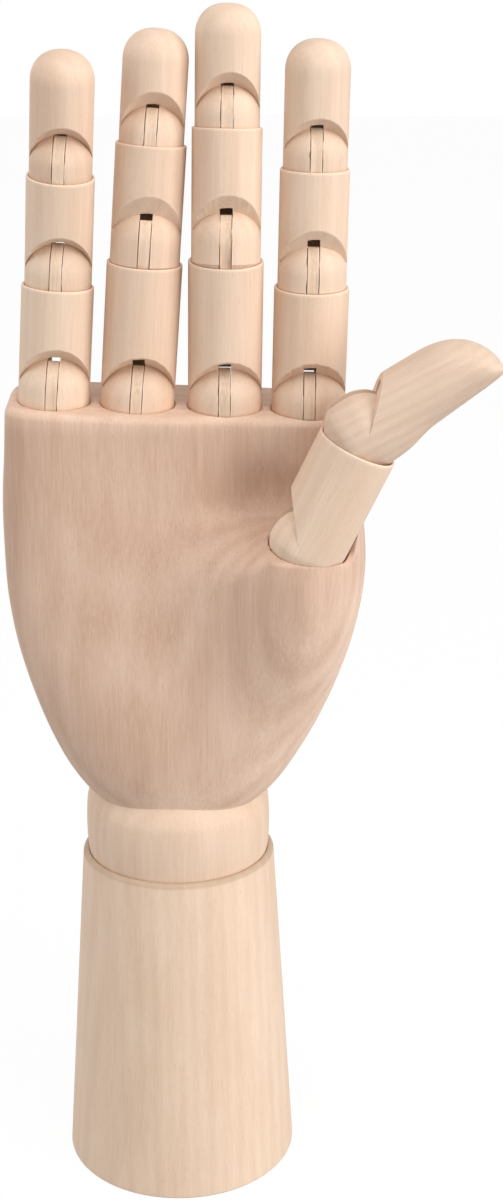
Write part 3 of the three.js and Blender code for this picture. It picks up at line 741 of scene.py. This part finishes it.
def ragged(angle, seed, amount):
    """Small unevenness of a hand cut edge: three sine waves over the angle with picked phases."""
    picked = np.random.default_rng(seed)
    total = np.zeros_like(angle)
    for waves, share in ((7, 0.3), (19, 0.4), (37, 0.4)):
        total = total + share * np.sin(waves * angle + picked.uniform(0, 6.28))
    return amount * total


def rod_point(size, angle, level):
    """A point of the turned side: a circle that narrows with the taper, or the section of a pad."""
    across = size["radius"] - size["taper"] * np.maximum(level, 0.0)
    x = across * np.sin(angle)
    y = -across * np.cos(angle)
    if "pad" in size:
        front, back, wide = size["pad"](level, across)
        x = wide * np.sin(angle)
        y = (back - front) / 2 - (back + front) / 2 * np.cos(angle)
    return grid(x, y, level)


def crease_circle(size):
    """The circle where the flat cut meets the dome: its middle, radius, slope, offset and last turn.

    The dome is a ball as wide as the rod. Its centre lies below the pin by sink. The circle runs through
    the top of the crease, given by its angle above the ball's centre, and the two ends of the cut."""
    radius = size["radius"]
    sink = size["sink"] * radius
    top = math.radians(size["crease"])
    waist = math.sqrt(radius ** 2 - sink ** 2)
    slope = math.atan2(radius * math.sin(top) - sink, radius * math.cos(top) - size["forward"] * waist)
    offset = radius * math.sin(top - slope)
    ring = math.sqrt(radius ** 2 - offset ** 2)
    middle = np.array([0.0, offset * math.sin(slope), offset * math.cos(slope) - sink])
    last = math.acos((sink - offset * math.cos(slope)) / (ring * math.sin(slope)))
    return dict(middle=middle, ring=ring, slope=slope, offset=offset, last=last)


def knuckle_front(size, angle, turn_angle, circle):
    """The rows over the cut for given columns: side, rounded edge, and both ends of the flat cut.

    angle places a column on the turned side, turn_angle on the circle where the cut meets the dome."""
    radius, far = size["radius"], size["side_end"]
    rise = size["apex"] / (1 - size["forward"])
    cosine = np.cos(angle - math.radians(size["twist"]))
    edge = radius * rise * np.maximum(0.0, cosine - size["forward"]) / (1 + rise * size["taper"] * cosine)
    full = ease(edge, 0.0, 2.5)
    edge = edge + full * ragged(angle, size["seed"], size["ragged"])
    soft = EDGE_ROUND * full
    side_points = rod_point(size, angle, mix(far, edge + 2 * soft, size["side_shares"][:, None]))
    corner = rod_point(size, angle, edge)
    above = rod_point(size, angle, edge + soft)
    upslope = np.array([0.0, -math.cos(circle["slope"]), math.sin(circle["slope"])])
    dome_top = circle["middle"] + circle["ring"] * np.cos(turn_angle)[:, None] * upslope
    dome_top[:, 0] += circle["ring"] * np.sin(turn_angle)
    dome_top = dome_top @ turn("z", size["twist"])[:3, :3].T
    dome_top[[0, -1]] = corner[[0, -1]]
    flat_length = np.linalg.norm(dome_top - corner, axis=-1)
    below = mix(corner, dome_top, np.minimum(1.0, soft / np.maximum(flat_length, 1e-6))[:, None])
    step = np.array([0.0, 0.33, 0.67, 1.0])[:, None, None]
    edge_points = (1 - step) ** 2 * above + 2 * step * (1 - step) * corner + step ** 2 * below
    return side_points, edge_points, below, dome_top


def dome_rows(size, angle, dome_top):
    """The dome from the crease to its widest level: columns turn about X on the ball sqrt(radius^2 - x^2).

    The outermost columns run straight down the rod, so the cut's ends stand a little over the dome."""
    radius = size["radius"]
    sink = size["sink"] * radius
    share = np.linspace(0, 1, DOME_STEPS + 1)[1:, None]
    x = mix(dome_top[:, 0], radius * np.sin(angle), share)
    tilt = np.arctan2(dome_top[:, 2] + sink, -dome_top[:, 1]) * (1 - share)
    spread = np.sqrt(np.maximum(0.0, radius ** 2 - x ** 2))
    rows = grid(x, -spread * np.cos(tilt), spread * np.sin(tilt) - sink)
    for column in (0, -1):
        rows[:, column] = dome_top[column]
        rows[:, column, 2] -= sink * share[:, 0]
    return rows


def end_rows(size, column_angle, straight):
    """Rows below the dome: the straight side at the given levels, then the round end to the slot."""
    radius, seat = size["radius"], size["seat"]
    ball = end_radius(radius, seat)
    fall = np.linspace(math.atan(seat), math.acos(SLOT_HALF / ball), 13)[1:]
    across = np.concatenate([np.full(len(straight), radius), ball * np.cos(fall)])[:, None]
    level = np.concatenate([straight, -ball * np.sin(fall)])[:, None]
    angle = column_angle(across)
    return grid(across * np.sin(angle), -across * np.cos(angle), level)


print("knuckle layout ready")

# %% A whole finger piece
RIM_FADE = np.array([[1.0], [0.7]])
ROOF_REACH = 0.935


def finger_piece(size):
    """Patches and flat polygons of one finger piece about its pin, pointing up +Z, its cut towards -Y."""
    radius, side_end = size["radius"], size["side_end"]
    sink = size["sink"] * radius
    twist = math.radians(size["twist"])
    last_angle = math.acos(size["forward"])
    circle = crease_circle(size)
    lifted = math.sin(twist) * math.cos(circle["slope"])
    swing = circle["ring"] * math.hypot(math.cos(twist), lifted)
    phase = math.atan2(lifted, math.cos(twist))
    aside = math.sin(twist) * circle["offset"] * math.sin(circle["slope"])

    def turn_at(x):
        """Where the circle of the cut and the dome is x away from the middle of the slot."""
        return np.arcsin((x + aside) / swing) - phase

    def slot_angle(across):
        """The angle at which a circle of this radius meets the slot: the arcsine of their ratio."""
        return np.arcsin(np.clip(SLOT_HALF / across, -1.0, 1.0))

    first = float(slot_angle(radius))
    upper = np.linspace(0, (side_end - size["slot_back"]) / side_end, 10)
    upper = np.concatenate([[0.0, 0.25 / side_end, 0.75 / side_end], upper[1:]])
    size["side_shares"] = np.concatenate([upper, np.linspace(upper[-1], 1.0, 8)[1:]])
    half = np.append(np.linspace(0, 0.985, FRONT_STEPS), 1.0)
    back_half = np.linspace(0, 1, BACK_STEPS + 1)
    strip = SLOT_HALF * np.linspace(-1, 1, STRIP_STEPS + 1)[1:-1]
    across_slot = np.arcsin(strip / radius)
    right_last, left_last = last_angle + twist, last_angle - twist
    angle = np.concatenate([-mix(first, left_last, half)[::-1], across_slot, mix(first, right_last, half)])
    left_turn = mix(turn_at(-SLOT_HALF), -circle["last"], half)
    right_turn = mix(turn_at(SLOT_HALF), circle["last"], half)
    turns = np.concatenate([left_turn[::-1], turn_at(strip), right_turn])
    side, edge, below, dome_top = knuckle_front(size, angle, turns, circle)
    lead = FRONT_STEPS + STRIP_STEPS
    roof_share = (below[lead, 2] - size["slot_lip"]) / (below[lead, 2] - dome_top[lead, 2])
    flat_upper = mix(below, dome_top, roof_share * np.array([0.5, 1.0])[:, None, None])
    front_upper = np.concatenate([side, edge, flat_upper])
    front_wear = np.zeros(front_upper.shape[:2])
    front_wear[len(side):len(side) + 2] = 0.5
    front_wear *= ease(np.cos(angle - twist), size["forward"], size["forward"] + 0.25)
    front_wear[:2] = size["rim_wear"] * RIM_FADE

    side_level = side_end * (1 - size["side_shares"])[:, None]
    back_right = mix(right_last, np.pi - first, back_half)
    back_left = mix(left_last, np.pi - first, back_half)
    back_angle = np.concatenate([back_right, np.pi + across_slot, 2 * np.pi - back_left[::-1]])
    back_upper = rod_point(size, back_angle, side_level[:len(upper)])
    back_wear = np.zeros(back_upper.shape[:2])
    back_wear[:2] = size["rim_wear"] * RIM_FADE

    flat_lower = mix(below, dome_top, np.linspace(roof_share, 1, 8)[:, None, None])
    front_lower = np.concatenate([flat_lower, dome_rows(size, angle, dome_top)])
    to_rim = np.linspace(-sink, -size["seat"] * radius, 3)[1:]
    back_straight = np.concatenate([-sink * np.linspace(0, 1, DOME_STEPS + 1)[1:], to_rim])

    def cheek(way, columns, back_columns):
        """The front and the back patch beside the slot: right with way 1, left and mirrored with -1."""
        last = last_angle + way * twist
        mirror = np.array([way, 1.0, 1.0])
        front_end = end_rows(size, lambda across: mix(slot_angle(across), last, half), to_rim)
        back_end = end_rows(size, lambda across: mix(last, np.pi - slot_angle(across), back_half),
                            back_straight)
        back_side = rod_point(size, back_columns, side_level[len(upper) - 1:])
        front = np.concatenate([front_lower[:, columns], mirror * front_end])
        return front, mirror * np.concatenate([back_side, back_end])

    right_front, right_back = cheek(1.0, slice(lead, None), back_right)
    left_front, left_back = cheek(-1.0, slice(FRONT_STEPS, None, -1), back_left)
    slot_wear = np.zeros(right_front.shape[:2])
    slot_wear[len(flat_lower) - 2:, 0] = 1.0

    roof_front = front_upper[-1, FRONT_STEPS:lead + 1]
    roof_back = back_upper[-1, BACK_STEPS:BACK_STEPS + STRIP_STEPS + 1][::-1]
    roof = size["slot_roof"]
    bow = sweep(75, 7, 8)
    roof_y = np.append(roof_front[:, 1].max() + 0.25 * radius, roof * np.cos(bow))
    roof_z = np.append(roof, np.maximum(roof * np.sin(bow), size["slot_back"]))
    roof_inside = np.broadcast_to(roof_front, (len(roof_y), *roof_front.shape)).copy()
    roof_inside[..., 1] = np.minimum(roof_y, ROOF_REACH * radius)[:, None]
    roof_inside[..., 2] = roof_z[:, None]
    roof_rows = np.concatenate([roof_front[None], roof_inside, roof_back[None]])

    cap_rows = size["cap"](np.concatenate([angle, back_angle[1:-1]]))
    cap_wear = np.zeros(cap_rows.shape[:2])
    cap_wear[1:6] = size["rim_wear"]
    patches = [patch(front_upper, front_wear), patch(right_front, slot_wear), patch(left_front, slot_wear),
               patch(back_upper, back_wear), patch(right_back), patch(left_back), patch(roof_rows),
               patch(cap_rows, cap_wear, closed=True)]
    walls = ((right_front, right_back, -1), (left_front, left_back, 0))
    polygons = [np.concatenate([front[:, 0], back[::-1, -1][1:], roof_inside[::-1, column]])
                for front, back, column in walls]
    settle = size.get("settle", np.asarray)
    for item in patches:
        item["points"] = settle(wander(item["points"], size))
    return patches, [settle(wander(outline, size)) for outline in polygons]


def wander(points, size):
    """Lets the sawn edges of the slot wander: x on its walls moves by two sine waves of the height."""
    phase = np.random.default_rng(size["seed"] + 500).uniform(0, 6.28, 4)
    x, z = points[..., 0], points[..., 2]
    side = np.where(x > 0, 0, 2)
    wave = 0.6 * np.sin(0.9 * z + phase[side]) + 0.4 * np.sin(2.3 * z + phase[side + 1])
    fade = 1 - ease(z, 0.5 * size["slot_lip"], 0.95 * size["slot_lip"])
    on_wall = np.isclose(np.abs(x), SLOT_HALF, atol=1e-6)
    moved = points.copy()
    moved[..., 0] = x + np.where(on_wall, size["wander"] * wave * fade, 0.0)
    return moved


print("finger piece ready")

# %% [markdown]
# Two far ends are needed. The cup has a thin rim, rounded at its outer edge, and then the hollow ball for
# the next piece. The finger tip is a dome a little fuller than a ball, as if sanded round on a belt.

# %% Far ends
def turned_end(profile, rim_wear):
    """A far end spun from a profile: its rows at given angles, the level it starts at, and its wear."""
    return dict(cap=lambda angle: lathe(profile, angle - np.pi / 2), side_end=profile[0, 1],
                rim_wear=rim_wear)


def cup_end(size, i):
    """A rounded rim and a hollow ball for the next piece: rows over the rim and down to its bottom."""
    radius, length = size["radius"][i], size["length"][i]
    next_radius, next_seat = size["radius"][i + 1], size["seat"][i + 1]
    ball = end_radius(next_radius, next_seat) + CUP_PLAY
    centre = length + next_seat * next_radius
    mouth_angle = math.degrees(math.asin((length - centre) / ball))
    rim = min(0.3, 0.7 * (radius - ball * math.cos(math.radians(mouth_angle))))
    profile = np.concatenate([
        arc(rim, (radius - rim, length - rim), 0, 90, 5),
        arc(ball, (0.0, centre), mouth_angle, -90, 12),
    ])
    profile[-1, 0] = 0.0
    return turned_end(profile, 1.0)


def tip_end(size, i):
    """A finger tip: radius times cosine^0.82 across and 0.92 radius times sine in height."""
    radius = size["radius"][i]
    dome = 0.92 * radius
    turn_up = sweep(0, 90, 20)
    across = radius * np.maximum(0.0, np.cos(turn_up)) ** 0.82
    across[-1] = 0.0
    return turned_end(grid(across, size["length"][i] - dome + dome * np.sin(turn_up)), 0.0)


print("far ends ready")

# %% [markdown]
# ## Tongues and pins
# Each knuckle is held by a tongue, a thin slat glued upright in the piece below. Its round head fills the
# slot and lies almost flush with the dome. Only two hair lines beside it and the dark end of the slot
# above it show. A steel pin goes through.

# %% Tongues
def tongue_outline(size):
    """The slat's outline in Y and Z: a disc cut off above, straight to the rim, end ball, then tenon.

    The cutting line starts at the height tongue_top on the disc's front and falls to the back."""
    radius = size["radius"]
    head, sink, top = radius * size["head"], radius * size["sink"], radius * size["tongue_top"]
    ball = end_radius(radius, size["seat"])
    around = sweep(-90, 0, 31)
    reach = np.minimum(head / np.maximum(np.cos(around), 1e-6), head * ball / radius)
    side = grid(reach * np.cos(around), reach * np.sin(around))
    side = side[(side[:, 0] > 0.5 * radius) & (side[:, 1] < -sink - 0.1)]
    over = sweep(0, 180, 73)
    front = -math.sqrt(max(0.0, head ** 2 - (top + sink) ** 2))
    line_above = top - TONGUE_FALL * (head * np.cos(over) - front)
    crown = grid(head * np.cos(over), np.minimum(head * np.sin(over) - sink, line_above))
    foot = np.array([[0.5 * radius, -ball - 1.6]])
    flip = np.array([-1.0, 1.0])
    return np.concatenate([foot, side, crown, side[::-1] * flip, foot * flip])


def tongue_piece(name, body, size, seed):
    """A slat of the outline, its long edges rounded: rows across its thickness and two flat faces."""
    outline = tongue_outline(size)
    across = TONGUE_HALF * np.array([-1.0, -0.9, -0.45, 0.0, 0.45, 0.9, 1.0])
    inset = np.array([0.12, 0.0, 0.0, 0.0, 0.0, 0.0, 0.12])
    away = outline - outline.mean(axis=0)
    away = away / np.linalg.norm(away, axis=-1, keepdims=True)
    edge = outline - away * inset[:, None, None]
    points = np.concatenate([np.broadcast_to(across[:, None, None], (*edge.shape[:2], 1)), edge], axis=-1)
    wear = np.array([1.0, 0.5, 0.0, 0.0, 0.0, 0.5, 1.0])[:, None]
    piece = sew(name + "_tongue_slat", [patch(points, wear, closed=True)], socket_frames[name],
                grain_offset(seed), polygons=[points[0], points[-1]])
    dress(piece, slat_wood, body, name + "_tongue")


def pin_piece(name, radius):
    """A steel pin along X with slightly rounded ends: a small lathe profile laid on its side."""
    half = 0.8 * radius
    profile = np.array([[0, -half], [0.55, -half], [0.75, -half + 0.2],
                        [0.75, half - 0.2], [0.55, half], [0, half]])
    points = lathe(profile, full_turn(20))[..., [2, 0, 1]]
    piece = sew(name + "_pin_wire", [patch(points, closed=True)], piece_frames[name])
    dress(piece, bright_steel, name, name + "_pin")


print("tongues and pins ready")

# %% [markdown]
# ## The four fingers
# Now the sizes are put in, listed from the palm outwards. A cut reaches as high as its apex and ends at
# the crease, so many degrees above the dome's middle, which lies below the pin by sink. The slot runs
# from its lip in front to its back behind, and the tongue in it up to tongue_top. These heights are shares
# of the radius, the twist of a cut is in degrees, and ragged and wander, the unevenness of the sawn edges,
# are in millimetres. The edges are not all alike: some are clean, and some have torn a little, so each
# piece has its own seed.

# %% Making a finger piece with its tongue and pin
def piece_size(size, cuts, i, **more):
    """The values of one piece: its column of each list, with the slot's heights made millimetres."""
    values = {key: column[i] for key, column in cuts.items()} | more
    radius = size["radius"][i]
    for key in ("slot_lip", "slot_roof", "slot_back"):
        values[key] = values[key] * radius
    return values | dict(radius=radius, seat=size["seat"][i])


def make_piece(name, body, size, wood, block, slat_seed, fibre=np.eye(3)):
    """Sews a finger piece, its tongue, which stays with the body below, and its pin."""
    patches, polygons = finger_piece(size)
    piece = sew(name + "_turned", patches, piece_frames[name], block, polygons, tint_and_painted_shade=size["tint_and_painted_shade"],
                fibre=fibre)
    dress(piece, wood, name, name)
    tongue_piece(name, body, size, slat_seed)
    pin_piece(name, size["radius"])


print("piece maker ready")

# %% Fingers
CUTS = {
    "little": dict(apex=[1.045, 1.13, 1.15], crease=[67, 72, 70], sink=[0.25, 0.2, 0.2],
                   slot_lip=[0.72, 0.87, 0.81], slot_back=[SLOT_ROOF, SLOT_ROOF, 0.3],
                   tongue_top=[0.64, 0.72, 0.71], ragged=[0.08, 0.05, 0.05], wander=[0.1, 0.08, 0.12],
                   twist=[7.0, 7.0, 7.0], tint_and_painted_shade=[0.0, 0.1, 0.5]),
    "ring": dict(apex=[1.05, 1.046, 1.11], crease=[71, 53, 70], sink=[0.25, 0.3, 0.3],
                 slot_lip=[0.99, 0.53, 0.69], slot_back=[0.3, 0.12, 0.3],
                 tongue_top=[0.69, 0.39, 0.58], ragged=[0.1, 0.08, 0.06], wander=[0.06, 0.04, 0.08],
                 twist=[6.0, 6.0, 6.0], tint_and_painted_shade=[0.4, 0.35, 0.3]),
    "middle": dict(apex=[1.02, 1.03, 1.115], crease=[66, 58, 72], sink=[0.25, 0.3, 0.25],
                   slot_lip=[0.95, 0.65, 0.764], slot_back=[0.3, 0.25, 0.3],
                   tongue_top=[0.675, 0.54, 0.67], ragged=[0.14, 0.16, 0.05], wander=[0.12, 0.22, 0.14],
                   twist=[6.0, 6.0, 6.0], tint_and_painted_shade=[0.15, 0.25, 0.0]),
    "index": dict(apex=[1.006, 1.05, 1.0], crease=[60, 55, 62], sink=[0.25, 0.3, 0.25],
                  slot_lip=[0.86, 0.758, 0.77], slot_back=[0.3, 0.26, 0.3],
                  tongue_top=[0.65, 0.545, 0.64], ragged=[0.2, 0.06, 0.06], wander=[0.12, 0.14, 0.14],
                  twist=[5.0, 5.0, 5.0], tint_and_painted_shade=[0.4, 0.1, 0.05]),
}
for order, (name, finger) in enumerate(FINGERS.items()):
    body = "palm"
    for i, part in enumerate(PIECES):
        number = 10 * order + i
        size = piece_size(finger, CUTS[name], i, taper=0.0, forward=NOTCH_FORWARD, slot_roof=SLOT_ROOF,
                          head=TONGUE_HEAD, seed=40 + number)
        far_end = tip_end if part == "tip" else cup_end
        size.update(far_end(finger, i))
        title = f"{name}_{part}"
        make_piece(title, body, size, pale_wood, grain_offset(100 + number), 200 + number)
        body = title
print(len(made_pieces), "pieces so far")

# %% [markdown]
# ## The thumb
# The thumb's pieces are made in the same way, lying in a plane parallel to the palm. Its tip is carved:
# the back runs straight to the end, and the pad curves over to meet it, so its section goes from a circle
# to a thin lens.

# %% Shape of the thumb's tip
THUMB_TOP_RADIUS = 7.4
THUMB_SIDE_END = 18.0
PAD_START = 17.0
THUMB_END = THUMB["length"][1]


def thumb_pad(level, across):
    """Depth before and behind the axis, and half width: the pad is a quarter ellipse to the end."""
    share = np.clip((level - PAD_START) / (THUMB_END - PAD_START), 0.0, 1.0)
    fall = 1 - np.sqrt(np.maximum(0.0, 1 - share ** 2.6))
    front = across - fall * (across + 5.2)
    wide = across * (1 - 0.32 * fall ** 1.5)
    return front, across, wide


def thumb_cap(angle):
    """The last rows of the thumb's tip: its lens section narrows to a short rounded edge at the end."""
    level = mix(THUMB_SIDE_END, THUMB_END, np.sin(sweep(0, 90, 22)))
    close = np.sqrt(np.maximum(0.0, 1 - np.linspace(0, 1, 22) ** 6))
    close[-1] = 0.0
    points = rod_point(thumb_tip_size, angle, level[:, None])
    middle = points.mean(axis=1, keepdims=True)
    return mix(middle, points, close[:, None, None])


def heel(points):
    """Thickens the back of the tip's round end: y grows by up to 15 percent behind the pin."""
    swell = ease(points[..., 2], -4.5, -0.5) * (1 - ease(points[..., 2], 4.0, 13.0))
    thick = points.copy()
    thick[..., 1] += 0.15 * np.maximum(0.0, points[..., 1]) * swell
    return thick


print("the pad of the thumb runs from", PAD_START, "to", THUMB_END, "mm")

# %% Thumb
thumb_apex = [(1 - forward) * math.tan(math.radians(slope))
              for forward, slope in zip(THUMB["forward"], THUMB["slope"])]
THUMB_CUTS = dict(apex=thumb_apex, forward=THUMB["forward"], crease=[45.0, 52.0], sink=[0.15, 0.15],
                  slot_lip=[0.86, 0.9], slot_roof=[0.92, 1.0], slot_back=[0.92, 1.0],
                  tongue_top=[0.85, 0.85], head=[0.86, 0.97], ragged=[0.06, 0.05], wander=[0.08, 0.08],
                  twist=[0.0, 0.0], tint_and_painted_shade=[0.0, 0.15], seed=[91, 92],
                  taper=[0.0, (THUMB["radius"][1] - THUMB_TOP_RADIUS) / THUMB_END])
thumb_lower_size = piece_size(THUMB, THUMB_CUTS, 0)
thumb_lower_size.update(cup_end(THUMB, 0))
thumb_tip_size = piece_size(THUMB, THUMB_CUTS, 1, pad=thumb_pad, side_end=THUMB_SIDE_END, cap=thumb_cap,
                            rim_wear=0.0, settle=heel)
make_piece("thumb_lower", "palm", thumb_lower_size, pale_wood, grain_offset(160), 260)
make_piece("thumb_tip", "thumb_lower", thumb_tip_size, striped_wood, np.array([9.0, 70.0, 15.0]), 261,
           fibre=turn("x", 7.0)[:3, :3])
print(len(made_pieces), "pieces with the thumb")

# %% [markdown]
# ## Spring and screw eyes
# A spring through the barrel pulls the palm down on the wrist. It hooks on two screw eyes, each one bent
# wire with a thread cut on its shank. All are a round section carried along a path. The frame of the
# section is turned as little as possible from step to step, so the tube does not twist. The spring has to
# bend with the wrist. So one half of it is drawn and used twice, the second time turned over. Each half
# runs from the middle of the wrist to the hook of its screw eye, and is placed once, without a body to
# ride on.

# %% Tubes along a path
def smooth_path(points, steps):
    """A smooth curve through points: cubic stretches, with half the step between neighbours as slope."""
    points = np.asarray(points, float)
    padded = np.concatenate([2 * points[:1] - points[1:2], points, 2 * points[-1:] - points[-2:-1]])
    t = np.linspace(0, 1, steps, endpoint=False)[:, None]
    a, b, c, d = padded[:-3, None], padded[1:-2, None], padded[2:-1, None], padded[3:, None]
    curve = b + 0.5 * (c - a) * t + 0.5 * (2 * a - 5 * b + 4 * c - d) * t ** 2
    curve = curve + 0.5 * (3 * b - a - 3 * c + d) * t ** 3
    return np.concatenate([curve.reshape(-1, 3), points[-1:]])


def tube(path, radius, sides=12):
    """A round tube: at each step a circle square to the path; radius may be (steps, sides) values."""
    along = np.gradient(path, axis=0)
    along = along / np.linalg.norm(along, axis=1, keepdims=True)
    normal = np.zeros_like(path)
    normal[0] = np.cross(along[0], [0.3, 1.0, 0.2])
    for i in range(1, len(path)):
        normal[i] = normal[i - 1] - along[i] * np.dot(normal[i - 1], along[i])
        normal[i] /= np.linalg.norm(normal[i])
    normal[0] /= np.linalg.norm(normal[0])
    beside = np.cross(along, normal)
    angle = full_turn(sides)[None, :, None]
    radius = np.broadcast_to(radius, (len(path), sides))[..., None]
    skin = path[:, None] + (np.cos(angle) * normal[:, None] + np.sin(angle) * beside[:, None]) * radius
    start = np.broadcast_to(path[:1, None], (1, sides, 3))
    end = np.broadcast_to(path[-1:, None], (1, sides, 3))
    return np.concatenate([start, skin, end])


print("tubes ready")

# %% Spring
EYE_DISTANCE = 52.0
EYE_RADIUS = 4.6
HOOK_RADIUS = 4.0
COIL_RADIUS = 2.4
COIL_END = 42.0
COIL_TURNS = 12
TURN_STEPS = 8
SPRING_WIRE = 0.6
hook_turn = sweep(20, 300, 8)
hook = grid(0.0, HOOK_RADIUS * np.sin(hook_turn),
            EYE_DISTANCE - EYE_RADIUS - HOOK_RADIUS * np.cos(hook_turn))
coil_step = np.arange(COIL_TURNS * TURN_STEPS + 1)
coil_turn = 2 * np.pi * coil_step / TURN_STEPS
coil = grid(COIL_RADIUS * np.cos(coil_turn), COIL_RADIUS * np.sin(coil_turn),
            COIL_END * coil_step / coil_step[-1])
spring_path = smooth_path(np.concatenate([coil, hook]), 4)
spring_patch = patch(tube(spring_path, SPRING_WIRE, 10), closed=True)
spring_halves = {"lower": (wrist_frame @ turn("x", 180), "spring"), "upper": (palm_frame, "palm")}
for half, (place, body) in spring_halves.items():
    piece = sew(f"wrist_spring_{half}_wire", [spring_patch], place)
    piece.data.materials.append(bright_steel)
    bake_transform(piece)
    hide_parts("wrist_spring")
    made_pieces.append(piece)
spring_length = np.linalg.norm(np.diff(spring_path, axis=0), axis=1).sum()
print("each half of the spring has", round(float(spring_length)), "mm of wire")

# %% Screw eyes
EYE_WIRE = 1.08
THREAD_PITCH = 1.3
THREAD_DEPTH = 0.12
SHANK_POINTS = 9
STRETCH_STEPS = 10
EYE_SIDES = 16


def screw_eye(name, place, body, node):
    """One bent wire: a pointed shank with a raised spiral thread, then round the ring of the eye."""
    shank = np.zeros((SHANK_POINTS, 3))
    shank[:, 2] = np.linspace(-EYE_RADIUS - 15.0, -EYE_RADIUS - 1.6, SHANK_POINTS)
    bow = sweep(-70, 255, 20)
    ring = grid(EYE_RADIUS * np.cos(bow), 0.0, EYE_RADIUS * np.sin(bow))
    path = smooth_path(np.concatenate([shank, ring]), STRETCH_STEPS)
    height = path[:, 2:]
    threaded = ease(height, -18.2, -15.0) * (1 - ease(height, -9.5, -8.5))
    spiral = np.cos(2 * np.pi * height / THREAD_PITCH - full_turn(EYE_SIDES))
    on_shank = np.arange(len(path))[:, None] < (SHANK_POINTS - 1) * STRETCH_STEPS
    thin = np.where(on_shank, 0.25 + 0.75 * ease(height, -18.4, -15.5), 1.0)
    radius = EYE_WIRE * thin + THREAD_DEPTH * threaded * on_shank * np.maximum(0.0, spiral)
    piece = sew(name, [patch(tube(path, radius, EYE_SIDES), closed=True)], place, sharp=60.0)
    dress(piece, bright_steel, body, node)


screw_eye("base_screw_eye_wire", shift(0, 0, WRIST_HEIGHT - EYE_DISTANCE), "base", "base_screw_eye")
screw_eye("palm_screw_eye_wire", palm_frame @ shift(0, 0, EYE_DISTANCE) @ turn("x", 180), "palm",
          "palm_screw_eye")
print(len(made_pieces), "pieces in all")

# %% [markdown]
# ## Floor and light
# A product picture on white needs soft light from large lamps. The floor and the world are white, so the
# ground melts into the background, and the lamps stay at a plain level, at which the wood renders as its
# colours are written. The key lamp stands in front on the right. Weaker ones light the hand from above
# and fill the left.

# %% Floor
WHITE = (1.0, 1.0, 1.0, 1.0)
FLOOR_GREY = (0.36, 0.36, 0.36, 1.0)
FLOOR_GLOW = 0.95
FLOOR_RADIUS = 4000.0
FLOOR_SIDES = 64
floor_mesh = bpy.data.meshes.new("studio_floor")
floor_profile = np.array([[0.0, 0.0], [600.0, 0.0], [FLOOR_RADIUS, 0.0]])
floor_points = lathe(floor_profile, full_turn(FLOOR_SIDES)) * MILLIMETRE
floor_faces = grid_faces(len(floor_profile), FLOOR_SIDES, True)
floor_mesh.from_pydata(floor_points.reshape(-1, 3).tolist(), [], floor_faces.tolist())
floor = bpy.data.objects.new("studio_floor", floor_mesh)
bpy.context.scene.collection.objects.link(floor)


def seen_or_lit(tree, lit, seen):
    """The seen shader for rays of the camera, a mirror or glass, and lit for rays that gather light."""
    ray = add_node(tree, "ShaderNodeLightPath").outputs
    share = ray["Is Camera Ray"]
    for kind in ("Is Glossy Ray", "Is Transmission Ray"):
        share = add_node(tree, "ShaderNodeMath", {0: share, 1: ray[kind]}, operation="MAXIMUM").outputs[0]
    return add_node(tree, "ShaderNodeMixShader", {0: share, 1: lit, 2: seen}).outputs[0]


paper, tree, sheet = new_material("white_paper")
feed(tree, sheet, {"Base Color": FLOOR_GREY, "Roughness": 0.9, "Specular IOR Level": 0.0})
glow = add_node(tree, "ShaderNodeEmission", {"Color": WHITE, "Strength": 1.0}).outputs[0]
shadow = add_node(tree, "ShaderNodeBsdfDiffuse", {"Color": WHITE}).outputs[0]
seen = add_node(tree, "ShaderNodeMixShader", {0: FLOOR_GLOW, 1: shadow, 2: glow}).outputs[0]
feed(tree, tree.nodes["Material Output"], {"Surface": seen_or_lit(tree, sheet.outputs[0], seen)})
floor_mesh.materials.append(paper)
print("floor of", 2 * FLOOR_RADIUS * MILLIMETRE, "m across")

# %% Lamps and world
SKY_STRENGTH = 0.56


def lamp(name, place, aim, wide, tall, power):
    """A rectangular area lamp that looks from its place at a point."""
    data = bpy.data.lights.new(name, "AREA")
    data.shape = "RECTANGLE"
    data.size = wide
    data.size_y = tall
    data.energy = power
    made = bpy.data.objects.new(name, data)
    made.location = place
    look = np.subtract(aim, place)
    yaw = math.atan2(look[1], look[0]) - math.pi / 2
    pitch = math.atan2(look[2], math.hypot(look[0], look[1]))
    made.rotation_euler = (math.pi / 2 + pitch, 0.0, yaw)
    bpy.context.scene.collection.objects.link(made)


lamp("key_lamp", (1.02, -0.74, 0.5), (0.0, 0.0, 0.2), 0.9, 1.2, 14.0)
lamp("top_lamp", (0.1, -0.7, 1.4), (0.0, 0.0, 0.15), 0.9, 0.9, 5.5)
lamp("left_lamp", (-1.3, -0.15, 0.5), (0.0, 0.0, 0.15), 0.9, 0.9, 5.0)
world = bpy.data.worlds.new("studio_world")
bpy.context.scene.world = world
world.use_nodes = True
tree = world.node_tree
sky = tree.nodes["Background"]
feed(tree, sky, {"Color": WHITE, "Strength": SKY_STRENGTH})
plain = add_node(tree, "ShaderNodeBackground", {"Color": WHITE, "Strength": 1.0}).outputs[0]
feed(tree, tree.nodes["World Output"], {"Surface": seen_or_lit(tree, sky.outputs[0], plain)})
bpy.context.scene.view_settings.view_transform = "Standard"
print("three lamps and a white world")
